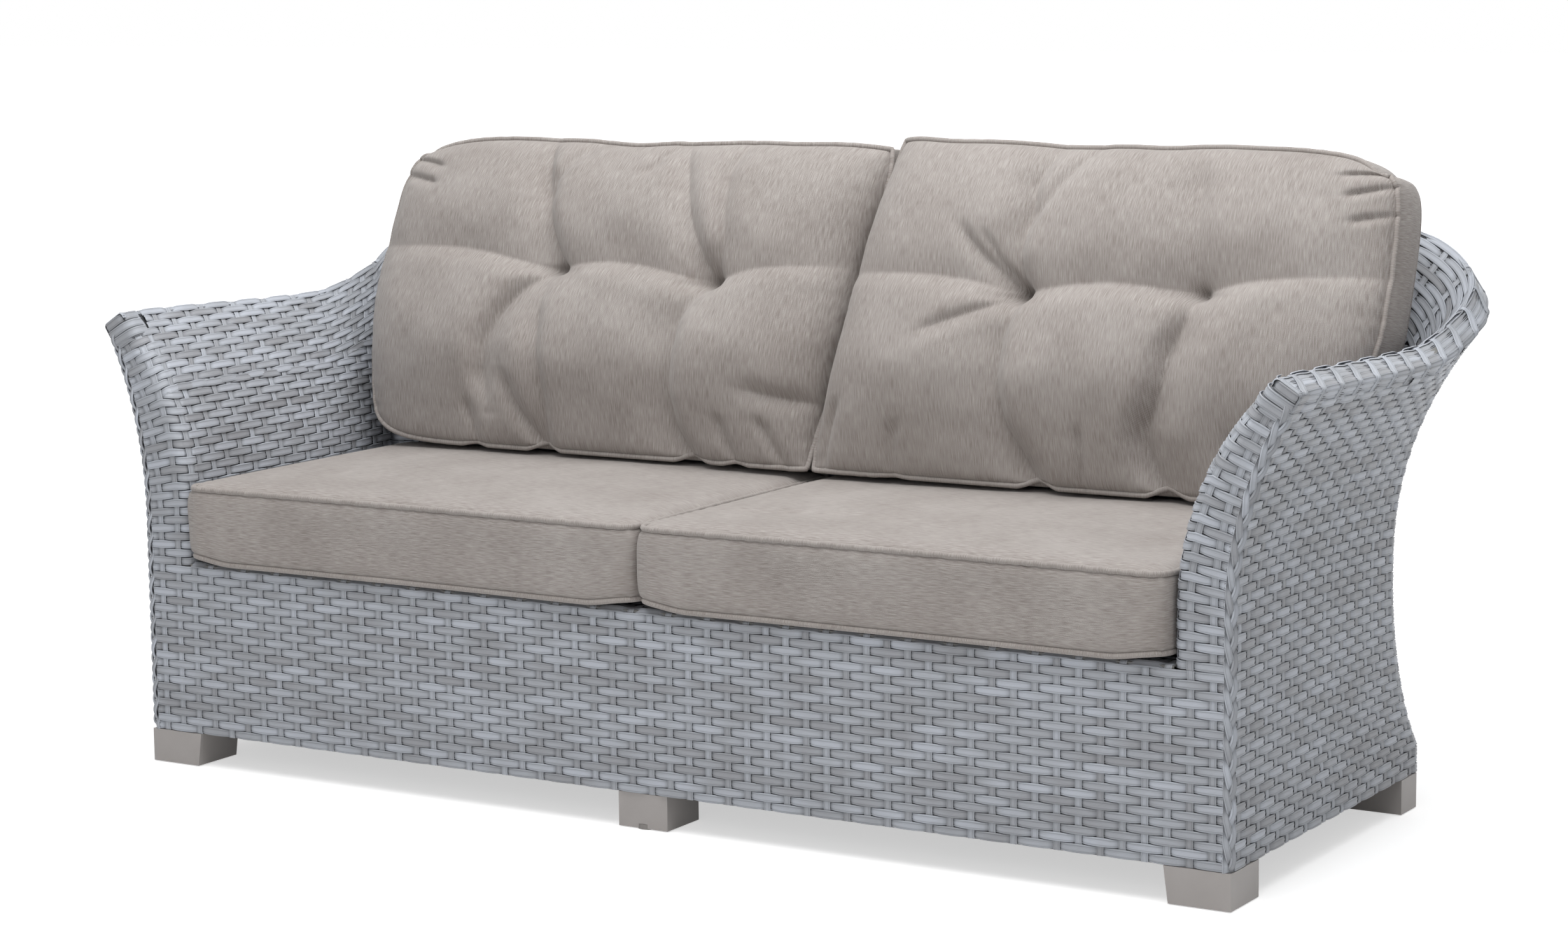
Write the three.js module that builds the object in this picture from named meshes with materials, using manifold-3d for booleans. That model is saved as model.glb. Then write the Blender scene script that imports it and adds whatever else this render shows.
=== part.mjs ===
import * as THREE from 'three';
import { mergeVertices } from 'three/addons/utils/BufferGeometryUtils.js';
import Module from 'manifold-3d';

// A woven garden sofa: an aluminium tube frame, a skin of flat resin strands over it, six block
// feet, two box seat cushions and two tufted back cushions. Millimetres. While it is built, x is
// across the sofa, y runs back from the front plane of the base and z is up from the floor.

// Driving dimensions of the body
const baseWidth = 1877;
const baseDepth = 720;
const footHeight = 54;
const seatRailTop = 329;
const armTopHeight = 697;
const armFlareStart = 400;
const armFlareRadius = 550;
const armTipSetback = 15;
const armWall = 90;
const rimWall = 43;
const backWall = 50;
const backRise = 181;
const armDip = 9;
const riseStart = 490;
const riseRun = 710;
const waistHeight = 355;
const waistInset = 96.5;
const plinthHeight = 41;
const plinthCurveRadius = 400;
const backFlare = 229;
const cornerRadiusBase = 55;
const cornerRadiusWaist = 68;
const cornerRadiusTop = 167;

// Powers that set how late a curve sweeps out
const backFlarePower = 2.33;
const wallTaperPower = 2.4;
const cornerGrowPower = 2;

// Where round the sofa the thick arm wall thins into the back's
const wallBlendStartShare = 0.5;
const wallBlendShare = 0.85;

// How far round the rear corner the walls end a little lower
const cornerMiddleShare = 1.5;
const cornerLandShare = 0.74;
const cornerEaseShare = 0.3;

// Strands and tubes
const weave = 3;
const gap = 0.4;
const seam = 0.5;
const frameGap = 0.8;
const railGap = 2.6;
const uprightClearance = 2.4;
const braidWidth = 18;
const braidThickness = 5;
const braidLand = 12;
const rimHeight = 28;
const rimOverhang = 1.5;
const rimEdgeHeight = 16;
const rimShoulder = 7;
const rimLand = 0.7;
const outerCornerLand = 3;
const innerCornerLand = 7;
const rimTubeDiameter = 22;
const tubeWall = 1.5;
const tubeWidth = 25;
const uprightDepth = 30;
const seatSideLap = 6;
const bearerCount = 3;

// Feet and their fixings
const footWidth = 92;
const frontFootDepth = 92;
const rearFootDepth = 60;
const rearFootInset = 46;
const footSplay = 7;
const middleFootWidth = 85;
const middleFootSetback = 3;
const glideDiameter = 30;
const glideThickness = 6;
const glideProud = 1.5;
const studDiameter = 8;
const studReach = 14;
const studClearance = 0.3;

// Seat cushions
const seatCushionThickness = 126;
const seatCushionCrown = 14;
const seatCushionOverhang = 14;
const seatCushionCorner = 30;
const seatCushionPull = 6;
const seatCushionEdgeSwell = 5;
const seatCrownShares = [0.03, 0.08, 0.14, 0.22];
const cushionGap = 1;

// Back cushions. Their seam leans back from the foot. Inner sizes are from the middle of the sofa,
// and outer ones are gaps to the arm's inside at the same height, or at its top above it
const backCushionFront = 136;
const backCushionRear = 90;
const backCushionFootInset = 223;
const backCushionLeanAngle = 0.4;
const backCushionPull = 13;
const backCushionGap = 0.4;
const frontFootShare = 0.74;
const middleShare = 0.5;
const edgeCrowdShare = 0.6;
const cornerRoundShare = 0.09;
const footRoundShare = 0.35;
const cornerRoundPower = 6;
const swellPower = 6;
const footSwellPower = 12;
const rightBackCushion = {
  side: 1,
  height: 550,
  armGap: { foot: 8.4, middle: 50.6, top: 56.6 },
  inner: { foot: 12, middle: 37, top: 62 }
};
const leftBackCushion = {
  side: -1,
  height: 541,
  armGap: { foot: 5.4, middle: 102.6, top: 110.6 },
  inner: { foot: -7, middle: -32, top: -57 }
};
const tuftDepth = 48;
const tuftRadius = 70;
const tuftCrease = 16;
const tuftCreaseHeight = 60;
const tuftAcrossShare = 0.31;
const tuftUpShare = 0.16;

const halfWidth = baseWidth / 2;
const waistDepth = baseDepth - waistInset;
const topDepth = waistDepth + backFlare;
const seatTubeTop = seatRailTop - weave;
const backCushionFoot = baseDepth - backCushionFootInset;
const deckThickness = weave - gap;
const plinthTop = footHeight + plinthHeight;

const colours = { strand: 0xa3a7ad, frame: 0x8d8b87, fabric: 0xa79f97, foot: 0x9f9993, glide: 0x33322f };
const materials = {
  strand: new THREE.MeshStandardMaterial({ color: colours.strand, roughness: 0.55, metalness: 0 }),
  frame: new THREE.MeshStandardMaterial({ color: colours.frame, roughness: 0.4, metalness: 0.8 }),
  fabric: new THREE.MeshStandardMaterial({ color: colours.fabric, roughness: 0.95, metalness: 0 }),
  foot: new THREE.MeshStandardMaterial({ color: colours.foot, roughness: 0.5, metalness: 0.1 }),
  glide: new THREE.MeshStandardMaterial({ color: colours.glide, roughness: 0.8, metalness: 0 })
};

const wasm = await Module();
wasm.setup();

const sofa = new THREE.Group();

function addMesh(name, geometry, material) {
  const mesh = new THREE.Mesh(geometry, material);
  mesh.name = name;
  sofa.add(mesh);
  return mesh;
}

function mix(a, b, t) {
  return a + (b - a) * t;
}

function clamp01(t) {
  return Math.min(1, Math.max(0, t));
}

function ease(t) {
  const c = clamp01(t);
  return c * c * (3 - 2 * c);
}

function steps(count, from = 0, to = 1) {
  return Array.from({ length: count + 1 }, (_, i) => mix(from, to, i / count));
}

// A closed body from points and triangles, turned to face outward if it came out inside out
function closedBody(points, triangles) {
  let volume = 0;
  for (const [a, b, c] of triangles) {
    volume += points[a].dot(new THREE.Vector3().crossVectors(points[b], points[c]));
  }
  const index = triangles.flatMap(([a, b, c]) => (volume < 0 ? [a, c, b] : [a, b, c]));
  const geometry = new THREE.BufferGeometry();
  geometry.setAttribute('position', new THREE.Float32BufferAttribute(points.flatMap((p) => p.toArray()), 3));
  geometry.setIndex(index);
  return geometry;
}

function quad(triangles, a, b, c, d) {
  triangles.push([a, b, c], [a, c, d]);
}

// A wall between two grids of points, rows by columns, closed round its four edges
function wallBody(front, back) {
  const rows = front.length;
  const columns = front[0].length;
  const points = [...front.flat(), ...back.flat()];
  const triangles = [];
  const at = (side, i, j) => side * rows * columns + i * columns + j;
  for (let i = 0; i < rows - 1; i++) {
    for (let j = 0; j < columns - 1; j++) {
      quad(triangles, at(0, i, j), at(0, i, j + 1), at(0, i + 1, j + 1), at(0, i + 1, j));
      quad(triangles, at(1, i, j), at(1, i + 1, j), at(1, i + 1, j + 1), at(1, i, j + 1));
    }
  }
  for (let i = 0; i < rows - 1; i++) {
    quad(triangles, at(0, i, 0), at(0, i + 1, 0), at(1, i + 1, 0), at(1, i, 0));
    const last = columns - 1;
    quad(triangles, at(0, i + 1, last), at(0, i, last), at(1, i, last), at(1, i + 1, last));
  }
  for (let j = 0; j < columns - 1; j++) {
    quad(triangles, at(0, 0, j + 1), at(0, 0, j), at(1, 0, j), at(1, 0, j + 1));
    quad(triangles, at(0, rows - 1, j), at(0, rows - 1, j + 1), at(1, rows - 1, j + 1), at(1, rows - 1, j));
  }
  return closedBody(points, triangles);
}

// A tube through rings of points, with a second set of rings for its bore; blind closes its start
function tubeBody(outer, bore, blind = false) {
  const count = outer[0].length;
  const rings = outer.length;
  const points = [...outer.flat(), ...bore.flat()];
  const triangles = [];
  const at = (layer, i, j) => (layer * rings + i) * count + (j % count);
  for (let i = 0; i < rings - 1; i++) {
    for (let j = 0; j < count; j++) {
      quad(triangles, at(0, i, j), at(0, i, j + 1), at(0, i + 1, j + 1), at(0, i + 1, j));
      quad(triangles, at(1, i, j), at(1, i + 1, j), at(1, i + 1, j + 1), at(1, i, j + 1));
    }
  }
  for (let j = 0; j < count; j++) {
    if (!blind) {
      quad(triangles, at(0, 0, j + 1), at(0, 0, j), at(1, 0, j), at(1, 0, j + 1));
    } else if (j > 0) {
      triangles.push([at(0, 0, 0), at(0, 0, j + 1), at(0, 0, j)]);
      triangles.push([at(1, 0, 0), at(1, 0, j), at(1, 0, j + 1)]);
    }
    const last = rings - 1;
    quad(triangles, at(0, last, j), at(0, last, j + 1), at(1, last, j + 1), at(1, last, j));
  }
  return closedBody(points, triangles);
}

// A solid bar through rings of points, its ends closed by fans
function barBody(rings) {
  const count = rings[0].length;
  const points = rings.flat();
  const triangles = [];
  const at = (i, j) => i * count + (j % count);
  for (let i = 0; i < rings.length - 1; i++) {
    for (let j = 0; j < count; j++) {
      quad(triangles, at(i, j), at(i, j + 1), at(i + 1, j + 1), at(i + 1, j));
    }
  }
  const last = rings.length - 1;
  for (let j = 1; j < count - 1; j++) {
    triangles.push([at(0, 0), at(0, j + 1), at(0, j)], [at(last, 0), at(last, j), at(last, j + 1)]);
  }
  return closedBody(points, triangles);
}

// Booleans
function toManifold(geometry) {
  const bare = geometry.clone();
  bare.deleteAttribute('normal');
  bare.deleteAttribute('uv');
  const merged = mergeVertices(bare);
  const vertProperties = new Float32Array(merged.attributes.position.array);
  const triVerts = new Uint32Array(merged.index.array);
  return new wasm.Manifold(new wasm.Mesh({ numProp: 3, vertProperties, triVerts }));
}

function fromManifold(manifold) {
  const mesh = manifold.getMesh();
  const geometry = new THREE.BufferGeometry();
  geometry.setAttribute('position', new THREE.BufferAttribute(new Float32Array(mesh.vertProperties), 3));
  geometry.setIndex(new THREE.BufferAttribute(new Uint32Array(mesh.triVerts), 1));
  return geometry;
}

function cut(geometry, tools) {
  return fromManifold(tools.reduce((body, tool) => body.subtract(toManifold(tool)), toManifold(geometry)));
}

function join(geometries) {
  return fromManifold(geometries.map(toManifold).reduce((body, next) => body.add(next)));
}

function uprightCylinder(radius, bottom, top, x, y, sides = 12) {
  const cylinder = new THREE.CylinderGeometry(radius, radius, top - bottom, sides);
  cylinder.rotateX(Math.PI / 2);
  cylinder.translate(x, y, (bottom + top) / 2);
  return cylinder;
}

// A straight hollow tube between two corners, open at both ends along the named axis
function boxTube(axis, low, high) {
  const others = ['x', 'y', 'z'].filter((name) => name !== axis);
  const ring = (place, inset) => {
    const corners = [[0, 0], [1, 0], [1, 1], [0, 1]];
    return corners.map(([i, j]) => {
      const point = new THREE.Vector3();
      point[axis] = place;
      point[others[0]] = i ? high[others[0]] - inset : low[others[0]] + inset;
      point[others[1]] = j ? high[others[1]] - inset : low[others[1]] + inset;
      return point;
    });
  };
  const ends = [low[axis], high[axis]];
  return tubeBody(ends.map((end) => ring(end, 0)), ends.map((end) => ring(end, tubeWall)));
}

// Shape of the woven shell
// u runs round half of the sofa: 0 to 1 along the arm, 1 to 2 round the rear corner and 2 to 3
// along the back to the middle. level is the height as if the rim stayed as low as at the arm.
function armOuterX(level) {
  const above = Math.max(level - armFlareStart, 0);
  return halfWidth + armFlareRadius - Math.sqrt(armFlareRadius ** 2 - above ** 2);
}

function backOuterY(level) {
  if (level >= waistHeight) {
    const t = (level - waistHeight) / (armTopHeight - waistHeight);
    return waistDepth + backFlare * t ** backFlarePower;
  }
  const rise = (height) => Math.sqrt(plinthCurveRadius ** 2 - (waistHeight - height) ** 2);
  const sweep = (height) => plinthCurveRadius - rise(height);
  return waistDepth + waistInset * sweep(Math.max(level, plinthTop)) / sweep(plinthTop);
}

function cornerRadius(level) {
  if (level < waistHeight) {
    return mix(cornerRadiusBase, cornerRadiusWaist, (level - footHeight) / (waistHeight - footHeight));
  }
  const t = (level - waistHeight) / (armTopHeight - waistHeight);
  return mix(cornerRadiusWaist, cornerRadiusTop, t ** cornerGrowPower);
}

function frontY(level) {
  return armTipSetback * clamp01((level - armFlareStart) / (armTopHeight - armFlareStart)) ** 2;
}

const rimArmRun = topDepth - cornerRadiusTop;
const rimCornerRun = cornerRadiusTop * Math.PI / 2;
const rimBackRun = armOuterX(armTopHeight) - cornerRadiusTop;

function rimPlace(u) {
  return Math.min(u, 1) * rimArmRun + clamp01(u - 1) * rimCornerRun + clamp01(u - 2) * rimBackRun;
}

function rimLift(u) {
  return backRise * ease((rimPlace(u) - riseStart) / riseRun) * (1 + armDip / backRise)
    - armDip * ease(rimPlace(u) / riseStart);
}

function outer(u, level) {
  const x = armOuterX(level);
  const y = backOuterY(level);
  const r = cornerRadius(level);
  const front = frontY(level);
  const lift = rimLift(u) * Math.max(level - armFlareStart, 0) / (armTopHeight - armFlareStart);
  if (u <= 1) {
    return new THREE.Vector3(x, mix(front, y - r, u), level + lift);
  }
  if (u <= 2) {
    const a = (u - 1) * Math.PI / 2;
    return new THREE.Vector3(x - r + r * Math.cos(a), y - r + r * Math.sin(a), level + lift);
  }
  return new THREE.Vector3(mix(x - r, 0, u - 2), y, level + lift);
}

const probeShare = 5e-3;
const halvingCount = 24;

function slopes(u, level) {
  const ahead = outer(Math.min(u + probeShare, 3), level);
  const along = ahead.sub(outer(Math.max(u - probeShare, 0), level)).normalize();
  const step = probeShare * armTopHeight;
  const up = outer(u, level + step / 2).sub(outer(u, level - step / 2)).normalize();
  const out = new THREE.Vector3().crossVectors(along, up).normalize();
  return { along, up: new THREE.Vector3().crossVectors(out, along).normalize(), out };
}

function wall(u, level) {
  const t = clamp01((level - armFlareStart) / (armTopHeight - armFlareStart)) ** wallTaperPower;
  const thick = mix(armWall, backWall, ease((u - wallBlendStartShare) / wallBlendShare));
  return mix(thick, rimWall, t);
}

function armInsideX(level) {
  return armOuterX(level) - wall(0, level);
}

// A point that lies depth inside the outer face
function inside(u, level, depth) {
  return outer(u, level).addScaledVector(slopes(u, level).out, -depth);
}

// The share of the arm's run that a distance takes at a level
function uAtDistance(level, distance) {
  return distance / (backOuterY(level) - cornerRadius(level) - frontY(level));
}

function mirrored(point) {
  return new THREE.Vector3(-point.x, point.y, point.z);
}

function placed(rings, side) {
  return side < 0 ? rings.map((ring) => ring.map(mirrored)) : rings;
}

// Levels at which the walls and uprights have their rings
const deckLevel = seatTubeTop + gap;

// The level at which one face is a given drop below the rim's top, square to the rim's run
function levelBelowTop(u, drop, depth, cornerLand = outerCornerLand) {
  const face = (level) => inside(u, level, depth(u, level));
  const { up } = slopes(u, armTopHeight);
  const near = (cornerLandShare - Math.abs(u - cornerMiddleShare)) / cornerEaseShare;
  const lowest = drop + cornerLand * ease(near);
  const top = face(armTopHeight);
  let low = armFlareStart;
  let high = armTopHeight;
  for (let i = 0; i < halvingCount; i++) {
    const middle = (low + high) / 2;
    if (top.clone().sub(face(middle)).dot(up) > lowest) {
      low = middle;
    } else {
      high = middle;
    }
  }
  return low;
}

const skinDrop = rimHeight - rimLand;
const outerFace = () => 0;

// Levels of the rings of an outer wall: even below the waist and even again up to the rim
function outerLevels(u, low, drop) {
  const top = levelBelowTop(u, drop, outerFace);
  const below = [...steps(1, footHeight, plinthTop), ...steps(4, plinthTop, waistHeight).slice(1)];
  return [low, ...below.filter((level) => level > low + seam), ...steps(7, waistHeight, top).slice(1)];
}

// An inner wall starts on the deck, however far its offset from the outer face lets it sink
function innerLevels(u, drop) {
  const sink = deckLevel - inside(u, deckLevel, wall(u, deckLevel)).z;
  return steps(8, deckLevel + sink, levelBelowTop(u, drop, wall, innerCornerLand));
}

// A grid of points at spots given by u and level, depth and then some more inside the outer face
function gridAt(spots, depthAt, extra = 0) {
  return spots.map((column) => column.map(([u, level]) => inside(u, level, depthAt(u, level) + extra)));
}

// Woven walls, by columns whose u may change with the level so that an edge stays straight
function wovenWall(name, columnsAt, side, levelsAt, depthAt) {
  const column = (top, i) => levelsAt(top).map((level) => [columnsAt(level)[i], level]);
  const spots = columnsAt(armTopHeight).map(column);
  const grid = (extra) => placed(gridAt(spots, depthAt, extra), side);
  addMesh(name, wallBody(grid(0), grid(weave)), materials.strand);
}

// The same for a wall that crosses the middle, from one side's share of u to the other's
function wovenBack(name, us, levelsAt, depthAt) {
  const spots = us.map((u) => levelsAt(u).map((level) => [u, level]));
  const whole = (extra) => {
    const right = gridAt(spots, depthAt, extra);
    return [...right, ...placed(right.slice(0, -1), -1).reverse()];
  };
  addMesh(name, wallBody(whole(0), whole(weave)), materials.strand);
}

const skinFace = outerFace;
const outerSkinLevels = (u) => outerLevels(u, footHeight, skinDrop);
const innerSkinLevels = (u) => innerLevels(u, skinDrop);
const innerSkinDepth = (u, level) => wall(u, level) - weave;
const armBays = steps(7).slice(1, -1);
const armColumns = (start) => (level) => {
  return [uAtDistance(level, start), ...armBays, 1 - uAtDistance(level, seam)];
};
const cornerColumns = () => steps(8, 1, 2);
const backStart = 2 + seam / rimBackRun;
const sides = [['right', 1], ['left', -1]];

for (const [word, side] of sides) {
  wovenWall(`side_weave_${word}`, armColumns(braidLand), side, outerSkinLevels, skinFace);
  wovenWall(`rear_corner_weave_${word}`, cornerColumns, side, outerSkinLevels, skinFace);
  wovenWall(`arm_inner_weave_${word}`, armColumns(weave + gap), side, innerSkinLevels, innerSkinDepth);
  wovenWall(`inner_corner_weave_${word}`, cornerColumns, side, innerSkinLevels, innerSkinDepth);
}
wovenBack('back_outer_weave', steps(5, backStart, 3), outerSkinLevels, skinFace);
wovenBack('back_inner_weave', steps(5, backStart, 3), innerSkinLevels, innerSkinDepth);

// Woven front of each arm, from the bottom of the base to the rim
const frontDrop = rimHeight + gap;

function frontLevels(depth) {
  const top = levelBelowTop(0, frontDrop, depth);
  return [...steps(1, footHeight, armFlareStart), ...steps(7, armFlareStart, top).slice(1)];
}

function armFront(side) {
  const depths = [() => braidLand, (u, level) => wall(u, level) / 2, wall];
  const grid = (back) => depths.map((depth) => frontLevels(depth).map((level) => {
    const point = inside(0, level, depth(0, level));
    return point.setY(frontY(level) + back);
  }));
  return wallBody(placed(grid(0), side), placed(grid(weave), side));
}

// Flat plait down the front outer corner, lying at 45 degrees
function cornerBraid(side) {
  const levels = frontLevels(outerFace);
  const rings = levels.map((level) => {
    const out = slopes(0, level).out;
    const back = new THREE.Vector3(0, 1, 0);
    const across = out.clone().add(back).normalize();
    const proud = out.clone().sub(back).normalize();
    const corner = inside(0, level, braidLand / 2).setY(frontY(level) + braidLand / 2);
    const low = gap + seam;
    const at = (i, j) => corner.clone()
      .addScaledVector(across, i * braidWidth / 2)
      .addScaledVector(proud, j ? low + braidThickness : low);
    const bevel = (i) => corner.clone()
      .addScaledVector(across, i * (braidWidth / 2 - braidThickness / 2))
      .addScaledVector(proud, low + braidThickness);
    const shoulder = (i) => corner.clone()
      .addScaledVector(across, i * braidWidth / 2)
      .addScaledVector(proud, low + braidThickness / 2);
    return [at(-1, 0), at(1, 0), shoulder(1), bevel(1), bevel(-1), shoulder(-1)];
  });
  return barBody(placed(rings, side));
}

for (const [word, side] of sides) {
  addMesh(`arm_front_weave_${word}`, armFront(side), materials.strand);
  addMesh(`corner_braid_${word}`, cornerBraid(side), materials.strand);
}

// Front rail's weave: a face and the strands rolled over its top edge
const armInnerX = halfWidth - armWall;
const frameInset = weave + frameGap;
const frameFar = frameInset + tubeWidth;
const frontRailShape = new THREE.Shape([
  new THREE.Vector2(0, footHeight),
  new THREE.Vector2(weave, footHeight),
  new THREE.Vector2(weave, seatRailTop - deckThickness),
  new THREE.Vector2(frameFar, seatRailTop - deckThickness),
  new THREE.Vector2(frameFar, seatRailTop),
  new THREE.Vector2(weave, seatRailTop),
  new THREE.Vector2(0, seatRailTop - weave)
]);
const frontRailRun = { depth: 2 * (armInnerX - seam), bevelEnabled: false };
const frontRail = new THREE.ExtrudeGeometry(frontRailShape, frontRailRun);
frontRail.rotateY(Math.PI / 2);
frontRail.rotateX(Math.PI / 2);
frontRail.translate(-(armInnerX - seam), 0, 0);
addMesh('front_rail_weave', frontRail, materials.strand);

// Woven seat deck, cut to the inside of the arms and the back
function deckOutline() {
  const us = [uAtDistance(deckLevel, frameFar), ...armBays, ...cornerColumns(), 3];
  const right = us.map((u) => inside(u, deckLevel, wall(u, deckLevel) + seam));
  right[0].y = frameFar + gap;
  const left = right.map(mirrored).reverse();
  return new THREE.Shape([...right, ...left].map((p) => new THREE.Vector2(p.x, p.y)));
}
const deck = new THREE.ExtrudeGeometry(deckOutline(), { depth: deckThickness, bevelEnabled: false });
deck.translate(0, 0, seatRailTop - deckThickness);
addMesh('seat_deck_weave', deck, materials.strand);

// Rim: a tube that runs along both arms and the back, and the strands wrapped round it
function rimFrame(u) {
  const { up, out } = slopes(u, armTopHeight);
  const centre = inside(u, armTopHeight, wall(u, armTopHeight) / 2).addScaledVector(up, -rimHeight / 2);
  return (across, high) => centre.clone().addScaledVector(out, across).addScaledVector(up, high);
}

function roundRing(place, radius) {
  const turns = Array.from({ length: 8 }, (_, i) => (i + 0.5) * Math.PI / 4);
  return turns.map((a) => place(radius * Math.cos(a), radius * Math.sin(a)));
}

function wrapRing(u) {
  const place = rimFrame(u);
  const a = wall(u, armTopHeight) / 2 + rimOverhang;
  const b = rimHeight / 2;
  const c = a - rimShoulder;
  const e = rimEdgeHeight / 2;
  const section = [[a, e], [c, b], [-c, b], [-a, e], [-a, -e], [-c, -b], [c, -b], [a, -e]];
  return section.map(([i, j]) => place(i, j));
}

const rimTubeRadius = rimTubeDiameter / 2;
const wrapBore = (u) => roundRing(rimFrame(u), rimTubeRadius + gap);
const rimTubeRing = (u) => roundRing(rimFrame(u), rimTubeRadius);
const rimTubeBore = (u) => roundRing(rimFrame(u), rimTubeRadius - tubeWall);
const rimCap = weave + gap;
const rimTubeStart = rimCap + seam;
const rimRun = (startShare) => [startShare, ...armBays, ...cornerColumns()];

const backRun = steps(5, backStart, 3);

function acrossBack(ring) {
  const right = backRun.map(ring);
  return [...right, ...placed(right.slice(0, -1), -1).reverse()];
}

// Mirroring reverses each ring's turn, so the left half keeps the order of its points
for (const [word, side] of sides) {
  const along = (ring, start) => placed(rimRun(start / rimArmRun).map(ring), side);
  addMesh(`rim_wrap_${word}`, tubeBody(along(wrapRing, 0), along(wrapBore, rimCap), true), materials.strand);
  addMesh(`rim_tube_${word}`, tubeBody(along(rimTubeRing, rimTubeStart), along(rimTubeBore, rimTubeStart)),
    materials.frame);
}
addMesh('rim_wrap_back', tubeBody(acrossBack(wrapRing), acrossBack(wrapBore)), materials.strand);
addMesh('rim_tube_back', tubeBody(acrossBack(rimTubeRing), acrossBack(rimTubeBore)), materials.frame);

// Curved uprights between the lower rails and the rim
const lowerTubeTop = footHeight + tubeWidth;
const uprightFoot = lowerTubeTop + gap;
const uprightDrop = rimHeight + uprightClearance;

function uprightRing(place, near, far, width) {
  const ring = (inset) => [[near + inset, -1], [far - inset, -1], [far - inset, 1], [near + inset, 1]]
    .map(([depth, way]) => place(depth, way * (width / 2 - inset)));
  return [ring(0), ring(tubeWall)];
}

function squareUpright(uAt, levels, nearAt) {
  const rings = levels.map((level) => {
    const u = uAt(level);
    const { along, out } = slopes(u, level);
    const face = outer(u, level);
    const near = nearAt(u, level);
    const place = (depth, sideways) => {
      return face.clone().addScaledVector(out, -depth).addScaledVector(along, sideways);
    };
    return uprightRing(place, near, near + uprightDepth, tubeWidth);
  });
  return [rings.map((ring) => ring[0]), rings.map((ring) => ring[1])];
}

function addUpright(name, rings, side) {
  addMesh(name, tubeBody(placed(rings[0], side), placed(rings[1], side)), materials.frame);
}

function levelOfWall(thickness) {
  const t = ((armWall - thickness) / (armWall - rimWall)) ** (1 / wallTaperPower);
  return mix(armFlareStart, armTopHeight, t);
}

const uprightNear = () => frameInset;
const outerPostY = braidLand + tubeWidth / 2;
const innerPostY = frameInset + tubeWidth / 2;
const innerPostInset = weave + railGap;
const innerPostNear = (u, level) => wall(u, level) - innerPostInset - uprightDepth;
const innerPostTop = levelOfWall(frameInset + innerPostInset + 2 * uprightDepth + frameGap);
const armPostShare = 0.52;
const backPostShare = 0.45;

for (const [word, side] of sides) {
  const outerPostLevels = outerLevels(0, uprightFoot, uprightDrop);
  addUpright(`front_post_${word}`,
    squareUpright((level) => uAtDistance(level, outerPostY), outerPostLevels, uprightNear), side);
  const innerPostLevels = [uprightFoot, ...steps(8, armFlareStart, innerPostTop)];
  addUpright(`inner_front_post_${word}`,
    squareUpright((level) => uAtDistance(level, innerPostY), innerPostLevels, innerPostNear), side);
  const armLevels = outerLevels(armPostShare, uprightFoot, uprightDrop);
  addUpright(`arm_post_${word}`, squareUpright(() => armPostShare, armLevels, uprightNear), side);
  const backLevels = outerLevels(2 + backPostShare, uprightFoot, uprightDrop);
  addUpright(`back_post_${word}`, squareUpright(() => 2 + backPostShare, backLevels, uprightNear), side);
}
const middleLevels = outerLevels(3, uprightFoot, uprightDrop);
addUpright('back_post_middle', squareUpright(() => 3, middleLevels, uprightNear), 1);

// Round uprights in the rear corners, which the straight rails run up to
function cornerPostCentre(level) {
  return inside(cornerMiddleShare, level, frameInset + tubeWidth / 2);
}

function cornerPostRing(level, radius) {
  const { along, out } = slopes(cornerMiddleShare, level);
  const centre = cornerPostCentre(level);
  return roundRing((i, j) => centre.clone().addScaledVector(out, i).addScaledVector(along, j), radius);
}

for (const [word, side] of sides) {
  const levels = outerLevels(cornerMiddleShare, footHeight, uprightDrop);
  const outside = levels.map((level) => cornerPostRing(level, tubeWidth / 2));
  const bore = levels.map((level) => cornerPostRing(level, tubeWidth / 2 - tubeWall));
  addUpright(`corner_post_${word}`, [outside, bore], side);
}

// Straight rails
const railLow = footHeight;
const railHigh = lowerTubeTop;
const lowerPost = cornerPostCentre((railLow + railHigh) / 2);
const postReach = tubeWidth / 2 + gap;
const frontRailEnd = halfWidth - braidLand - weave;
const railInset = weave + railGap;
const rearRailFar = baseDepth - railInset;
const seatTubeLow = seatTubeTop - tubeWidth;
const innerPostX = armInnerX + frameInset;
const seatRearFar = backOuterY(seatTubeTop) - frameInset - uprightDepth - gap;
const seatPost = cornerPostCentre((seatTubeLow + seatTubeTop) / 2);
const seatRearEnd = seatPost.x - Math.sqrt(postReach ** 2 - Math.max(seatPost.y - seatRearFar, 0) ** 2);
const seatSideFar = armInnerX + seatSideLap;

function rail(axis, low, high) {
  return boxTube(axis, new THREE.Vector3(...low), new THREE.Vector3(...high));
}

// Feet, and the glides whose studs hold them to the lower rails
const footTop = footHeight - gap;
const glideRadius = glideDiameter / 2;

function footSpot(x, y, width, depth, splay) {
  return { x, y, width, depth, splay };
}

const cornerFootX = halfWidth - footWidth / 2;
const rearFootY = baseDepth - rearFootInset - rearFootDepth / 2;
const middleFootY = middleFootSetback + middleFootWidth / 2;
const footSpots = {
  foot_front_right: footSpot(cornerFootX, frontFootDepth / 2, footWidth, frontFootDepth, footSplay),
  foot_front_left: footSpot(-cornerFootX, frontFootDepth / 2, footWidth, frontFootDepth, -footSplay),
  foot_front_middle: footSpot(0, middleFootY, middleFootWidth, middleFootWidth, 0),
  foot_rear_right: footSpot(cornerFootX, rearFootY, footWidth, rearFootDepth, footSplay),
  foot_rear_left: footSpot(-cornerFootX, rearFootY, footWidth, rearFootDepth, -footSplay),
  foot_rear_middle: footSpot(0, baseDepth - middleFootY, middleFootWidth, middleFootWidth, 0)
};

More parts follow.
